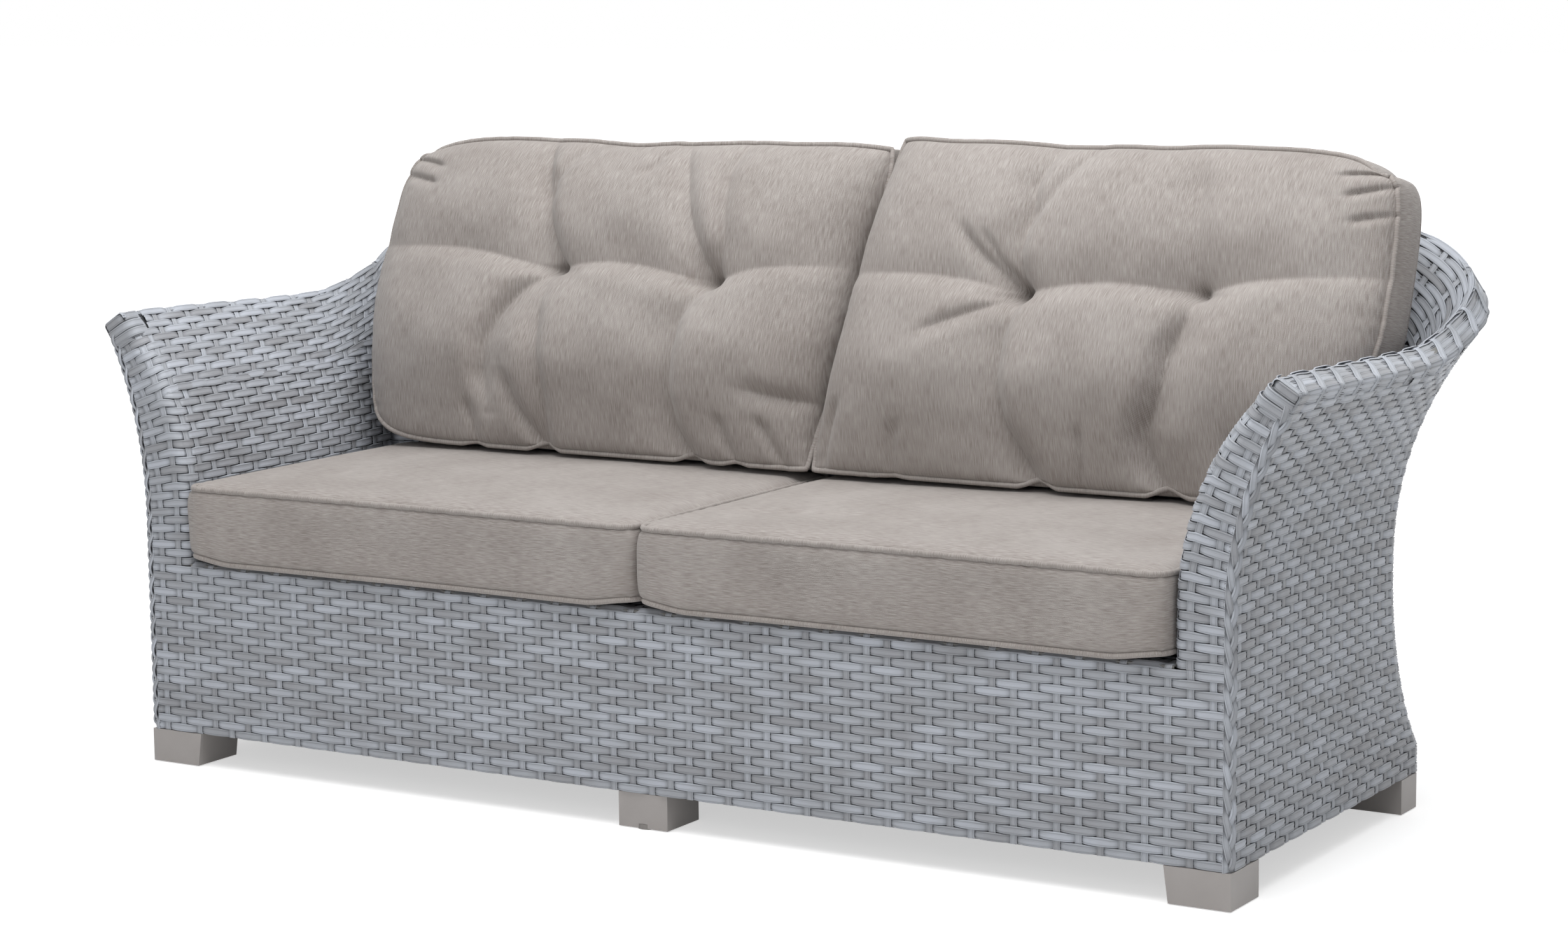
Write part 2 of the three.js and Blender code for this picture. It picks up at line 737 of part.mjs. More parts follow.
// Each stud stands under the rail that its foot hangs from
function studPlace(spot) {
  if (spot.x === 0) {
    const near = spot.y < baseDepth / 2 ? frameInset + tubeWidth / 2 : rearRailFar - tubeWidth / 2;
    return [0, near];
  }
  const railX = halfWidth - railInset - tubeWidth / 2;
  return [Math.sign(spot.x) * railX, spot.y];
}

function footBlock(spot) {
  const x0 = -spot.width / 2;
  const x1 = spot.width / 2;
  const outline = new THREE.Shape([
    new THREE.Vector2(x0, glideProud),
    new THREE.Vector2(x1, glideProud),
    new THREE.Vector2(x1 - Math.min(spot.splay, 0), footTop),
    new THREE.Vector2(x0 - Math.max(spot.splay, 0), footTop)
  ]);
  const block = new THREE.ExtrudeGeometry(outline, { depth: spot.depth, bevelEnabled: false });
  block.rotateX(Math.PI / 2);
  block.translate(spot.x, spot.y + spot.depth / 2, 0);
  const [bx, by] = studPlace(spot);
  const recess = uprightCylinder(glideRadius + gap, 0, glideProud + glideThickness + gap, bx, by);
  const hole = uprightCylinder(studDiameter / 2 + studClearance, 0, footHeight, bx, by);
  return cut(block, [recess, hole]);
}

function glideStud(spot) {
  const [bx, by] = studPlace(spot);
  const pad = uprightCylinder(glideRadius, 0, glideProud + glideThickness, bx, by);
  const stud = uprightCylinder(studDiameter / 2, glideThickness, footHeight + studReach, bx, by);
  return join([pad, stud]);
}

const studHoles = Object.values(footSpots).map((spot) => {
  const [bx, by] = studPlace(spot);
  const radius = studDiameter / 2 + studClearance;
  return uprightCylinder(radius, footHeight - tubeWall, footHeight + 2 * tubeWall, bx, by);
});

for (const [name, spot] of Object.entries(footSpots)) {
  addMesh(name, footBlock(spot), materials.foot);
  addMesh(name.replace('foot', 'glide'), glideStud(spot), materials.glide);
}

addMesh('lower_front_rail', cut(rail('x',
  [-frontRailEnd, frameInset, railLow], [frontRailEnd, frameFar, railHigh]), studHoles), materials.frame);
addMesh('lower_rear_rail', cut(rail('x',
  [-lowerPost.x + postReach, rearRailFar - tubeWidth, railLow],
  [lowerPost.x - postReach, rearRailFar, railHigh]), studHoles), materials.frame);
addMesh('seat_front_rail', rail('x',
  [-innerPostX + gap, frameInset, seatTubeLow], [innerPostX - gap, frameFar, seatTubeTop]), materials.frame);
addMesh('seat_rear_rail', rail('x',
  [-seatRearEnd, seatRearFar - tubeWidth, seatTubeLow],
  [seatRearEnd, seatRearFar, seatTubeTop]), materials.frame);

for (const [word, side] of sides) {
  const across = (low, high) => (side > 0 ? [low, high] : [-high, -low]);
  const [lx0, lx1] = across(halfWidth - railInset - tubeWidth, halfWidth - railInset);
  addMesh(`lower_side_rail_${word}`, cut(rail('y',
    [lx0, frameFar + gap, railLow], [lx1, lowerPost.y - postReach, railHigh]), studHoles), materials.frame);
  const [sx0, sx1] = across(seatSideFar - tubeWidth, seatSideFar);
  addMesh(`seat_side_rail_${word}`, rail('y',
    [sx0, frameFar + gap, seatTubeLow], [sx1, seatRearFar - tubeWidth - gap, seatTubeTop]), materials.frame);
}

// Bearers under the deck
const bearerSpan = 2 * (seatSideFar - tubeWidth / 2);
for (let i = 0; i < bearerCount; i++) {
  const x = -bearerSpan / 2 + bearerSpan * (i + 1) / (bearerCount + 1);
  addMesh(`deck_bearer_${i + 1}`, rail('y',
    [x - tubeWidth / 2, frameFar + gap, seatTubeLow],
    [x + tubeWidth / 2, seatRearFar - tubeWidth - gap, seatTubeTop]), materials.frame);
}

// Seat cushions: boxes with a crown, a swelling border and sides drawn in between the corners
function cushionRing(centre, half, inset, z) {
  const radius = Math.max(seatCushionCorner - inset, seatCushionCorner / 4);
  const a = half.x - inset;
  const b = half.y - inset;
  const ring = [];
  const corners = [[1, 1], [-1, 1], [-1, -1], [1, -1]];
  corners.forEach(([sx, sy], k) => {
    for (const turn of steps(4)) {
      const angle = (k + turn) * Math.PI / 2;
      ring.push([sx * (a - radius) + radius * Math.cos(angle), sy * (b - radius) + radius * Math.sin(angle)]);
    }
    const [nx, ny] = corners[(k + 1) % 4];
    const from = ring[ring.length - 1];
    const angle = (k + 1) * Math.PI / 2;
    const [cos, sin] = [Math.cos(angle), Math.sin(angle)];
    const to = [nx * (a - radius) + radius * cos, ny * (b - radius) + radius * sin];
    for (const t of steps(6).slice(1, -1)) {
      const pull = seatCushionPull * Math.sin(Math.PI * t);
      ring.push([mix(from[0], to[0], t) - pull * cos, mix(from[1], to[1], t) - pull * sin]);
    }
  });
  return ring.map(([x, y]) => new THREE.Vector3(centre.x + x, centre.y + y, z));
}

function seatCushion(side) {
  const inner = cushionGap / 2;
  const outerEdge = armInnerX - cushionGap;
  const rear = inside(3, waistHeight, wall(3, waistHeight)).y - cushionGap;
  const half = new THREE.Vector2((outerEdge - inner) / 2, (rear + seatCushionOverhang) / 2);
  const centre = new THREE.Vector2(side * (inner + outerEdge) / 2, (rear - seatCushionOverhang) / 2);
  const base = seatRailTop + gap;
  const top = base + seatCushionThickness;
  const ring = (inset, z) => cushionRing(centre, half, inset, z);
  const swell = seatCushionEdgeSwell;
  const rings = [
    ring(half.y / 2, base),
    ring(3 * swell, base),
    ring(swell, base + swell),
    ring(0, (base + top) / 2),
    ring(swell, top - swell)
  ];
  for (const share of seatCrownShares) {
    const lift = seatCushionCrown * Math.sin(share / seatCrownShares.at(-1) * Math.PI / 2);
    rings.push(ring(swell + share * (half.y - swell), top + lift));
  }
  return barBody(rings);
}

// Back cushions: pillows that swell from one seam round their edge, with two sewn tufts each
function innerBackY(x, z) {
  const reach = clamp01(Math.abs(x) / rimBackRun);
  const u = 3 - reach;
  let low = deckLevel;
  let high = armTopHeight;
  for (let i = 0; i < halvingCount; i++) {
    const level = (low + high) / 2;
    if (inside(u, level, wall(u, level)).z < z) {
      low = level;
    } else {
      high = level;
    }
  }
  return inside(u, low, wall(u, low)).y;
}

function bulge(w, power = swellPower) {
  return Math.sqrt(1 - Math.abs(w) ** power);
}

// A width at a share of the height, from its sizes at the foot, the middle and the top
function widthAt(sizes, h) {
  const low = mix(sizes.foot, sizes.middle, ease(h / middleShare));
  return mix(low, sizes.top, ease((h - middleShare) / (1 - middleShare)));
}

// Places from one edge to the other, -1 to 1, closer together towards the edges
function crowded(i, count) {
  const even = 2 * i / count - 1;
  return mix(even, Math.sin(even * Math.PI / 2), edgeCrowdShare);
}

function backCushion(sizes) {
  const columns = 26;
  const rows = 20;
  const rest = seatRailTop + gap + seatCushionThickness + seatCushionCrown + backCushionGap;
  const lean = backCushionLeanAngle;
  const armBeside = (h) => {
    return armInsideX(Math.min(rest + h * sizes.height * Math.cos(lean), armTopHeight));
  };
  const arm = { foot: armBeside(0), middle: armBeside(middleShare), top: armBeside(1) };
  const outerEdge = (h) => widthAt(arm, h) - widthAt(sizes.armGap, h);
  const half = (outerEdge(middleShare) - sizes.inner.middle) / 2;
  const point = (i, j, face) => {
    const s = crowded(i, columns);
    const t = crowded(j, rows);
    const round = cornerRoundShare * (t < 0 ? footRoundShare : 1) * Math.abs(s * t) ** cornerRoundPower;
    const h = (t + 1) / 2;
    const x = mix(widthAt(sizes.inner, h), outerEdge(h), (s * (1 - round) + 1) / 2);
    const pull = backCushionPull * (1 - s * s) * Math.max(t, 0);
    const run = h * (1 - round * Math.max(t, 0)) * sizes.height - pull;
    const swell = bulge(s, mix(footSwellPower, swellPower, ease(t + 1))) * bulge(t);
    let depth = backCushionRear * swell;
    if (face < 0) {
      depth = -backCushionFront * swell * mix(frontFootShare, 1, ease(t + 1));
      const dz = (t - tuftUpShare) * sizes.height / 2;
      const tuft = (way) => {
        const dx = (s - way * tuftAcrossShare) * half;
        return Math.exp(-(dx * dx + dz * dz) / tuftRadius ** 2);
      };
      const crease = Math.exp(-((dz / tuftCreaseHeight) ** 2)) * bulge(s);
      depth += Math.max(tuftDepth * Math.max(tuft(-1), tuft(1)), tuftCrease * crease);
    }
    const y = backCushionFoot + run * Math.sin(lean) + depth * Math.cos(lean / 2);
    const z = Math.max(rest, rest + run * Math.cos(lean) - depth * Math.sin(lean / 2));
    const limit = innerBackY(sizes.side * x, z) - cushionGap;
    return new THREE.Vector3(sizes.side * x, Math.min(y, limit), z);
  };
  return pillowBody(columns, rows, point);
}

// Two faces that share one seam
function pillowBody(columns, rows, point) {
  const points = [];
  const triangles = [];
  const index = new Map();
  const at = (i, j, face) => {
    const edge = i === 0 || j === 0 || i === columns || j === rows;
    const key = `${i} ${j} ${edge ? 0 : face}`;
    if (!index.has(key)) {
      index.set(key, points.length);
      points.push(point(i, j, edge ? 0 : face));
    }
    return index.get(key);
  };
  for (let i = 0; i < columns; i++) {
    for (let j = 0; j < rows; j++) {
      quad(triangles, at(i, j, -1), at(i + 1, j, -1), at(i + 1, j + 1, -1), at(i, j + 1, -1));
      quad(triangles, at(i, j, 1), at(i, j + 1, 1), at(i + 1, j + 1, 1), at(i + 1, j, 1));
    }
  }
  return closedBody(points, triangles);
}

for (const [word, side] of sides) {
  addMesh(`seat_cushion_${word}`, seatCushion(side), materials.fabric);
}
addMesh('back_cushion_right', backCushion(rightBackCushion), materials.fabric);
addMesh('back_cushion_left', backCushion(leftBackCushion), materials.fabric);

// The model's origin is on the floor under the middle of its bounding box
const whole = new THREE.Group();
const exact = true;
const middle = new THREE.Box3().setFromObject(sofa, exact).getCenter(new THREE.Vector3());
sofa.position.y = -middle.y;
whole.add(sofa);

export default whole;
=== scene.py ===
"""Looks of a rattan garden sofa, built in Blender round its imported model. Lengths are in metres."""

import collections
import math

import bmesh
import bpy
import numpy as np
from mathutils import Matrix, Vector


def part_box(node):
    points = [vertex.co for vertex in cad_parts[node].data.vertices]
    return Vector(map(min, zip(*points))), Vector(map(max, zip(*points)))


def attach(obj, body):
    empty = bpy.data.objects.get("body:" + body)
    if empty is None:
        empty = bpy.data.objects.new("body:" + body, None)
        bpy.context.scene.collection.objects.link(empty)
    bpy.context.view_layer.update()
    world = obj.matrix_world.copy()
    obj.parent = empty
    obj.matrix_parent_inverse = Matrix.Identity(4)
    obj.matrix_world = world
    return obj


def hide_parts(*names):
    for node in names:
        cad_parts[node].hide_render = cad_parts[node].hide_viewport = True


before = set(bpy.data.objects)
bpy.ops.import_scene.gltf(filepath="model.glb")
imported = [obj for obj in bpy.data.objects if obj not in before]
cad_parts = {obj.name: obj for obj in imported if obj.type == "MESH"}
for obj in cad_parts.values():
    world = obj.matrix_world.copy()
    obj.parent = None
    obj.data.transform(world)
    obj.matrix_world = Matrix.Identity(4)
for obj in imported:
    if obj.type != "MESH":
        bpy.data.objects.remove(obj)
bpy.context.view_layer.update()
SIDES = (("right", 1), ("left", -1))

# Shape of the woven shell, as the model has it
HALF_WIDTH = 0.9385
BASE_DEPTH = 0.720
FOOT_HEIGHT = 0.054
DECK_TOP = 0.329
ARM_TOP = 0.697
FLARE_START = 0.400
FLARE_RADIUS = 0.550
TIP_SETBACK = 0.015
ARM_WALL = 0.090
RIM_WALL = 0.043
BACK_WALL = 0.050
BACK_RISE = 0.181
ARM_DIP = 0.009
RISE_START = 0.490
RISE_RUN = 0.710
WAIST_HEIGHT = 0.355
WAIST_INSET = 0.0965
WAIST_DEPTH = BASE_DEPTH - WAIST_INSET
PLINTH_TOP = 0.095
PLINTH_RADIUS = 0.400
BACK_FLARE = 0.229
RADIUS_BASE = 0.055
RADIUS_WAIST = 0.068
RADIUS_TOP = 0.167
BACK_FLARE_POWER = 2.33
WALL_TAPER_POWER = 2.4
BLEND_START_SHARE = 0.5
BLEND_SHARE = 0.85
RIM_HEIGHT = 0.028
RIM_OVERHANG = 0.0008
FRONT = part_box("front_rail_weave")[0].y

# Strands: wefts go round the sofa, over a stake and behind the next
ROW_PITCH = 0.0128
STAKE_PITCH = 0.0331
WEFT_SHARE = 0.965
WEFT_TAPER = 0.05
WEFT_STEPS = 6
SHEET_STEPS = 4
SHEET_ROWS = 24
SPLIT_HEIGHT = 0.3
TONE_SHIFT = 40
WELD = 1e-6
CLOTH_WELD = 1e-5
DIVE_START = 0.46
SWING = 0.0046
PROUD = 0.0006
STAKE_WIDTH = 0.0112
STAKE_DEPTH = 0.0017
STAKE_SWING = 0.0008
STAKE_TONE = 0.7
STAKE_SHADE = 0.03
SHORTEST_RUN = 0.2
BACKING_DEPTH = 0.00372
BRAID_LAND = 0.012
EDGE_RADIUS = 0.024

# Steps for directions: a share round the sofa, a share of a stake's pitch and a height
PROBE = 1e-3
NEAR_STAKE = 0.1
NEAR_ROW = 0.003
# How much longer a face is along its surface than it is high
SURFACE_SHARE = 1.12


def clamp01(t):
    return np.clip(t, 0.0, 1.0)


def ease(t):
    t = clamp01(t)
    return t * t * (3 - 2 * t)


def mix(a, b, t):
    return a + (b - a) * t


def bump(away, width):
    """1 at a place, and less and less beside it."""
    return np.exp(-((away / width) ** 2))


def unit(v):
    return v / np.maximum(np.linalg.norm(v, axis=-1, keepdims=True), 1e-12)


def distances(points):
    """How far along a line of points each of them is."""
    return np.concatenate([[0], np.cumsum(np.linalg.norm(np.diff(points, axis=0), axis=1))])


def spaced(places, counts):
    """Places with others spaced evenly between them. counts has how many each span holds, with its ends."""
    spans = [np.linspace(low, high, count) for low, high, count in zip(places, places[1:], counts)]
    return np.concatenate([spans[0], *[span[1:] for span in spans[1:]]])


def paired(down, along):
    """Two values for each place of a sheet: one changes from row to row, and one from column to column."""
    return np.stack(np.broadcast_arrays(down[:, None], along[None, :]), axis=-1)


def sideways(centre, facing):
    """The way across a strand that runs along centre."""
    return unit(np.cross(unit(np.gradient(centre, axis=0)), facing))


def arm_outer_x(level):
    above = np.maximum(level - FLARE_START, 0)
    return HALF_WIDTH + FLARE_RADIUS - np.sqrt(FLARE_RADIUS**2 - above**2)


def back_outer_y(level):
    def sweep(height):
        return PLINTH_RADIUS - np.sqrt(PLINTH_RADIUS**2 - (WAIST_HEIGHT - height) ** 2)

    t = np.maximum(level - WAIST_HEIGHT, 0) / (ARM_TOP - WAIST_HEIGHT)
    low = np.clip(level, PLINTH_TOP, WAIST_HEIGHT)
    return WAIST_DEPTH + BACK_FLARE * t**BACK_FLARE_POWER + WAIST_INSET * sweep(low) / sweep(PLINTH_TOP)


def corner_radius(level):
    below = mix(RADIUS_BASE, RADIUS_WAIST, (level - FOOT_HEIGHT) / (WAIST_HEIGHT - FOOT_HEIGHT))
    t = np.maximum(level - WAIST_HEIGHT, 0) / (ARM_TOP - WAIST_HEIGHT)
    return np.where(level < WAIST_HEIGHT, below, mix(RADIUS_WAIST, RADIUS_TOP, t**2))


def front_y(level):
    return TIP_SETBACK * clamp01((level - FLARE_START) / (ARM_TOP - FLARE_START)) ** 2


RIM_ARM_RUN = float(back_outer_y(np.float64(ARM_TOP))) - RADIUS_TOP
RIM_CORNER_RUN = RADIUS_TOP * math.pi / 2
RIM_BACK_RUN = float(arm_outer_x(np.float64(ARM_TOP))) - RADIUS_TOP


def rim_lift(u):
    """How far the rim has risen above the arm's tip, u shares round from it."""
    place = np.minimum(u, 1) * RIM_ARM_RUN + clamp01(u - 1) * RIM_CORNER_RUN + clamp01(u - 2) * RIM_BACK_RUN
    rise = BACK_RISE * ease((place - RISE_START) / RISE_RUN) * (1 + ARM_DIP / BACK_RISE)
    return rise - ARM_DIP * ease(place / RISE_START)


def outer(u, level):
    """Points of the outer face: u is 0 to 1 along the arm, 1 to 2 round the corner, 2 to 3 to the middle."""
    u, level = np.broadcast_arrays(np.asarray(u, float), np.asarray(level, float))
    x = arm_outer_x(level)
    y = back_outer_y(level)
    r = corner_radius(level)
    lift = rim_lift(u) * np.maximum(level - FLARE_START, 0) / (ARM_TOP - FLARE_START)
    angle = clamp01(u - 1) * math.pi / 2
    px = np.where(u <= 1, x, np.where(u <= 2, x - r + r * np.cos(angle), mix(x - r, 0, u - 2)))
    py = np.where(u <= 1, mix(front_y(level), y - r, u), y - r + r * np.sin(angle))
    return np.stack([px, py + FRONT, level + lift], axis=-1)


def slopes(u, level):
    """Directions along the wall, up it and out of it."""
    step = PROBE * ARM_TOP / 2
    along = unit(outer(np.minimum(u + PROBE, 3), level) - outer(np.maximum(u - PROBE, 0), level))
    up = unit(outer(u, level + step) - outer(u, level - step))
    out = unit(np.cross(along, up))
    return along, unit(np.cross(out, along)), out


def wall(u, level):
    thick = mix(ARM_WALL, BACK_WALL, ease((u - BLEND_START_SHARE) / BLEND_SHARE))
    rise = clamp01((level - FLARE_START) / (ARM_TOP - FLARE_START))
    return mix(thick, RIM_WALL, rise**WALL_TAPER_POWER)


def inside(u, level, depth):
    return outer(u, level) - slopes(u, level)[2] * np.asarray(depth)[..., None]


def mirrored(points):
    return points * np.array([-1.0, 1.0, 1.0])


class Face:
    """A woven face as a table of points. Stakes stand at whole k, first to last, and s runs up a column."""

    COLUMNS = 420

    def __init__(self, outline, levels, first, last, turn=1):
        self.outline = outline
        self.levels = levels
        rings = []
        for level in levels:
            _, ring, share = outline(level)
            even = np.linspace(0, 1, self.COLUMNS + 1)
            rings.append(np.stack([np.interp(even, share, ring[:, i]) for i in range(3)], axis=1))
        self.grid = np.array(rings)
        climb = np.linalg.norm(np.diff(self.grid, axis=0), axis=2)
        self.height = np.concatenate([np.zeros((1, self.COLUMNS + 1)), np.cumsum(climb, axis=0)])
        self.first = first
        self.last = last
        self.turn = turn

    def total(self, k):
        """Height of the face along its surface at k."""
        place = (np.asarray(k, float) - self.first) / (self.last - self.first) * self.COLUMNS
        return np.interp(place, np.arange(self.COLUMNS + 1), self.height[-1])

    def point(self, k, s):
        k, s = np.broadcast_arrays(np.asarray(k, float), np.asarray(s, float))
        place = clamp01((k.ravel() - self.first) / (self.last - self.first)) * self.COLUMNS
        left = np.minimum(place.astype(int), self.COLUMNS - 1)
        part = (place - left)[:, None]
        result = 0
        picked = np.arange(len(left))
        for column, weight in ((left, 1 - part), (left + 1, part)):
            heights = self.height[:, column]
            row = np.clip((heights <= s.ravel()).sum(axis=0) - 1, 0, len(heights) - 2)
            low, high = heights[row, picked], heights[row + 1, picked]
            t = ((s.ravel() - low) / (high - low))[:, None]
            result = result + weight * mix(self.grid[row, column], self.grid[row + 1, column], t)
        return result.reshape(*k.shape, 3)

    def directions(self, k, s):
        """Directions up the face and out of it."""
        k, s = np.broadcast_arrays(np.asarray(k, float), np.asarray(s, float))
        ahead = self.point(np.minimum(k + NEAR_STAKE, self.last), s)
        along = unit(ahead - self.point(np.maximum(k - NEAR_STAKE, self.first), s))
        up = unit(self.point(k, s + NEAR_ROW) - self.point(k, s - NEAR_ROW))
        out = unit(np.cross(along, up)) * self.turn
        return up, out

    def passing(self, value, levels):
        """The stake places at which the face passes a share u of the way round, at each of some levels."""
        places = []
        for level in levels:
            u, _, share = self.outline(level)
            places.append(float(np.interp(value, u, share)))
        return self.first + (self.last - self.first) * np.array(places)

    def split(self, value):
        """Where one piece ends and the next begins, as a stake place for each height s."""
        places = self.passing(value, self.levels)
        rise = (self.levels - self.levels[0]) * SURFACE_SHARE
        return lambda s: float(np.round(np.interp(s, rise, places) - 0.5) + 0.5)


def sheet_mesh(name, sheets, layer=None, weld=0.0):
    """A mesh of sheets: points in rows and columns, their UVs, and 1 where the second material shows.

    With weld, edges that close are joined and ends are filled.
    """
    made = bmesh.new()
    for points, _, dark in sheets:
        rows, columns = points.shape[:2]
        new = bmesh.ops.create_grid(made, x_segments=columns - 1, y_segments=rows - 1, size=1)["verts"]
        if dark:
            for face in {face for vert in new for face in vert.link_faces}:
                face.material_index = 1
    mesh = bpy.data.meshes.new(name)
    made.to_mesh(mesh)
    spots = np.concatenate([points.reshape(-1, 3) for points, _, _ in sheets])
    mesh.vertices.foreach_set("co", spots.astype(np.float32).ravel())
    if layer:
        corners = np.zeros(len(mesh.loops), np.int32)
        mesh.loops.foreach_get("vertex_index", corners)
        uvs = np.concatenate([uv.reshape(-1, 2) for _, uv, _ in sheets])
        mesh.uv_layers.new(name=layer).data.foreach_set("uv", uvs[corners].astype(np.float32).ravel())
    if weld:
        made.clear()
        made.from_mesh(mesh)
        bmesh.ops.remove_doubles(made, verts=made.verts, dist=weld)
        bmesh.ops.holes_fill(made, edges=made.edges)
        bmesh.ops.recalc_face_normals(made, faces=made.faces)
        made.to_mesh(mesh)
    made.free()
    return mesh


def placed_object(name, data):
    made = bpy.data.objects.new(name, data)
    bpy.context.scene.collection.objects.link(made)
    return made


def piece(name, mesh, materials, body, replaces=()):
    """Finishes a mesh as an object of the part."""
    mesh.polygons.foreach_set("use_smooth", [True] * len(mesh.polygons))
    mesh.update()
    for material in materials:
        mesh.materials.append(material)
    made = placed_object(name, mesh)
    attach(made, body)
    if replaces:
        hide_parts(*replaces)
    return made


# Sections of the strands: places across, as shares of the width, and heights
RIBBED = (
    (-0.5, -0.0018), (-0.43, 0), (-0.30, -0.0010), (0, -0.0001), (0.30, -0.0010), (0.43, 0), (0.5, -0.0018),
)
PLAIN = ((-0.5, -0.0012), (-0.36, 0), (-0.12, -0.0004), (0.12, -0.0004), (0.36, 0), (0.5, -0.0012))


class Strands:
    """Ribbons in one mesh, with lengths and widths in its UVs, a tone for each and how far it is sunk, which
    darkens it as painted shade.
    """

    def __init__(self):
        self.sheets, self.tone, self.sunk = [], [], []

    def grid(self, spots, uv, tone, out, mirror=False, dark=0, sunk=0.0):
        """A sheet of points, rows by columns, whose faces look out."""
        if mirror:
            spots, out = mirrored(spots), mirrored(out)
        shape = spots.shape[:2]
        uv = np.broadcast_to(uv, (*shape, 2))
        i, j = shape[0] // 2, shape[1] // 2
        normal = np.cross(spots[i, j] - spots[i, j - 1], spots[i, j] - spots[i - 1, j])
        if normal @ out < 0:
            spots, uv = spots[:, ::-1], uv[:, ::-1]
        self.sheets.append((spots, uv, dark))
        self.tone.append(np.full(shape[0] * shape[1], tone))
        self.sunk.append(np.broadcast_to(sunk, shape).ravel())

    def line(self, spots, out, mirror=False):
        """A sheet of painted shade behind the strands, for their inner sides in shadow."""
        self.grid(spots, (0.0, 0.0), 0.5, out, mirror, dark=1)

    def add(self, centre, across, out, width, section=RIBBED, mirror=False, tone=0.5, run=None, sunk=0.0):
        """A ribbon along centre, whose width may change along it."""
        width = np.broadcast_to(np.asarray(width, float), centre.shape[:1])
        side = np.array([i for i, _ in section])
        high = np.array([j for _, j in section])
        spots = centre[:, None] + across[:, None] * (width[:, None] * side)[..., None]
        spots = spots + out[:, None] * high[None, :, None]
        if run is None:
            run = distances(centre) + 3 * tone
        uv = paired(run, side + 0.5)
        self.grid(spots, uv, tone, out[len(out) // 2], mirror, sunk=np.reshape(sunk, (-1, 1)))

    def finish(self, name, replaces):
        mesh = sheet_mesh(name, self.sheets, "Run")
        for word, values in (("tone", self.tone), ("sunk", self.sunk)):
            layer = mesh.attributes.new(word, "FLOAT", "POINT")
            layer.data.foreach_set("value", np.concatenate(values).astype(np.float32))
        piece(name, mesh, (strand, shade_sheet), "sofa", (replaces,))


def srgb(text):
    """A written colour such as a3a7ad as linear values."""
    values = [int(text[i : i + 2], 16) / 255 for i in (0, 2, 4)]
    linear = [v / 12.92 if v <= 0.04045 else ((v + 0.055) / 1.055) ** 2.4 for v in values]
    return (*linear, 1.0)


def add(tree, kind, inputs=None, output=0, **settings):
    """Adds a node with its settings and links, and gives one of its outputs, by place or name."""
    node = tree.nodes.new(f"ShaderNode{kind}")
    for key, value in settings.items():
        setattr(node, key, value)
    for key, value in (inputs or {}).items():
        if isinstance(value, bpy.types.NodeSocket):
            tree.links.new(value, node.inputs[key])
        else:
            node.inputs[key].default_value = value
    return node.outputs[output] if len(node.outputs) else node


def bare_material(name):
    """A material with nothing in it yet, and its node tree."""
    made = bpy.data.materials.new(name)
    made.use_nodes = True
    made.node_tree.nodes.clear()
    return made, made.node_tree


def skinned(made, skin):
    """A material that ends in a surface of these looks."""
    shader = add(made.node_tree, "BsdfPrincipled", skin)
    add(made.node_tree, "OutputMaterial", {0: shader})
    return made


# Where a strand's two raised ribs and the grooves beside them are, as shares of half its width, with how
# light each is. Grooves and flanks are drawn darker than the lamps make them, so that they show from afar
RIB_SHADES = ((0.0, 0.98), (0.42, 0.94), (0.60, 0.66), (0.76, 0.97), (0.88, 1.0), (0.95, 0.80), (1.0, 0.40))


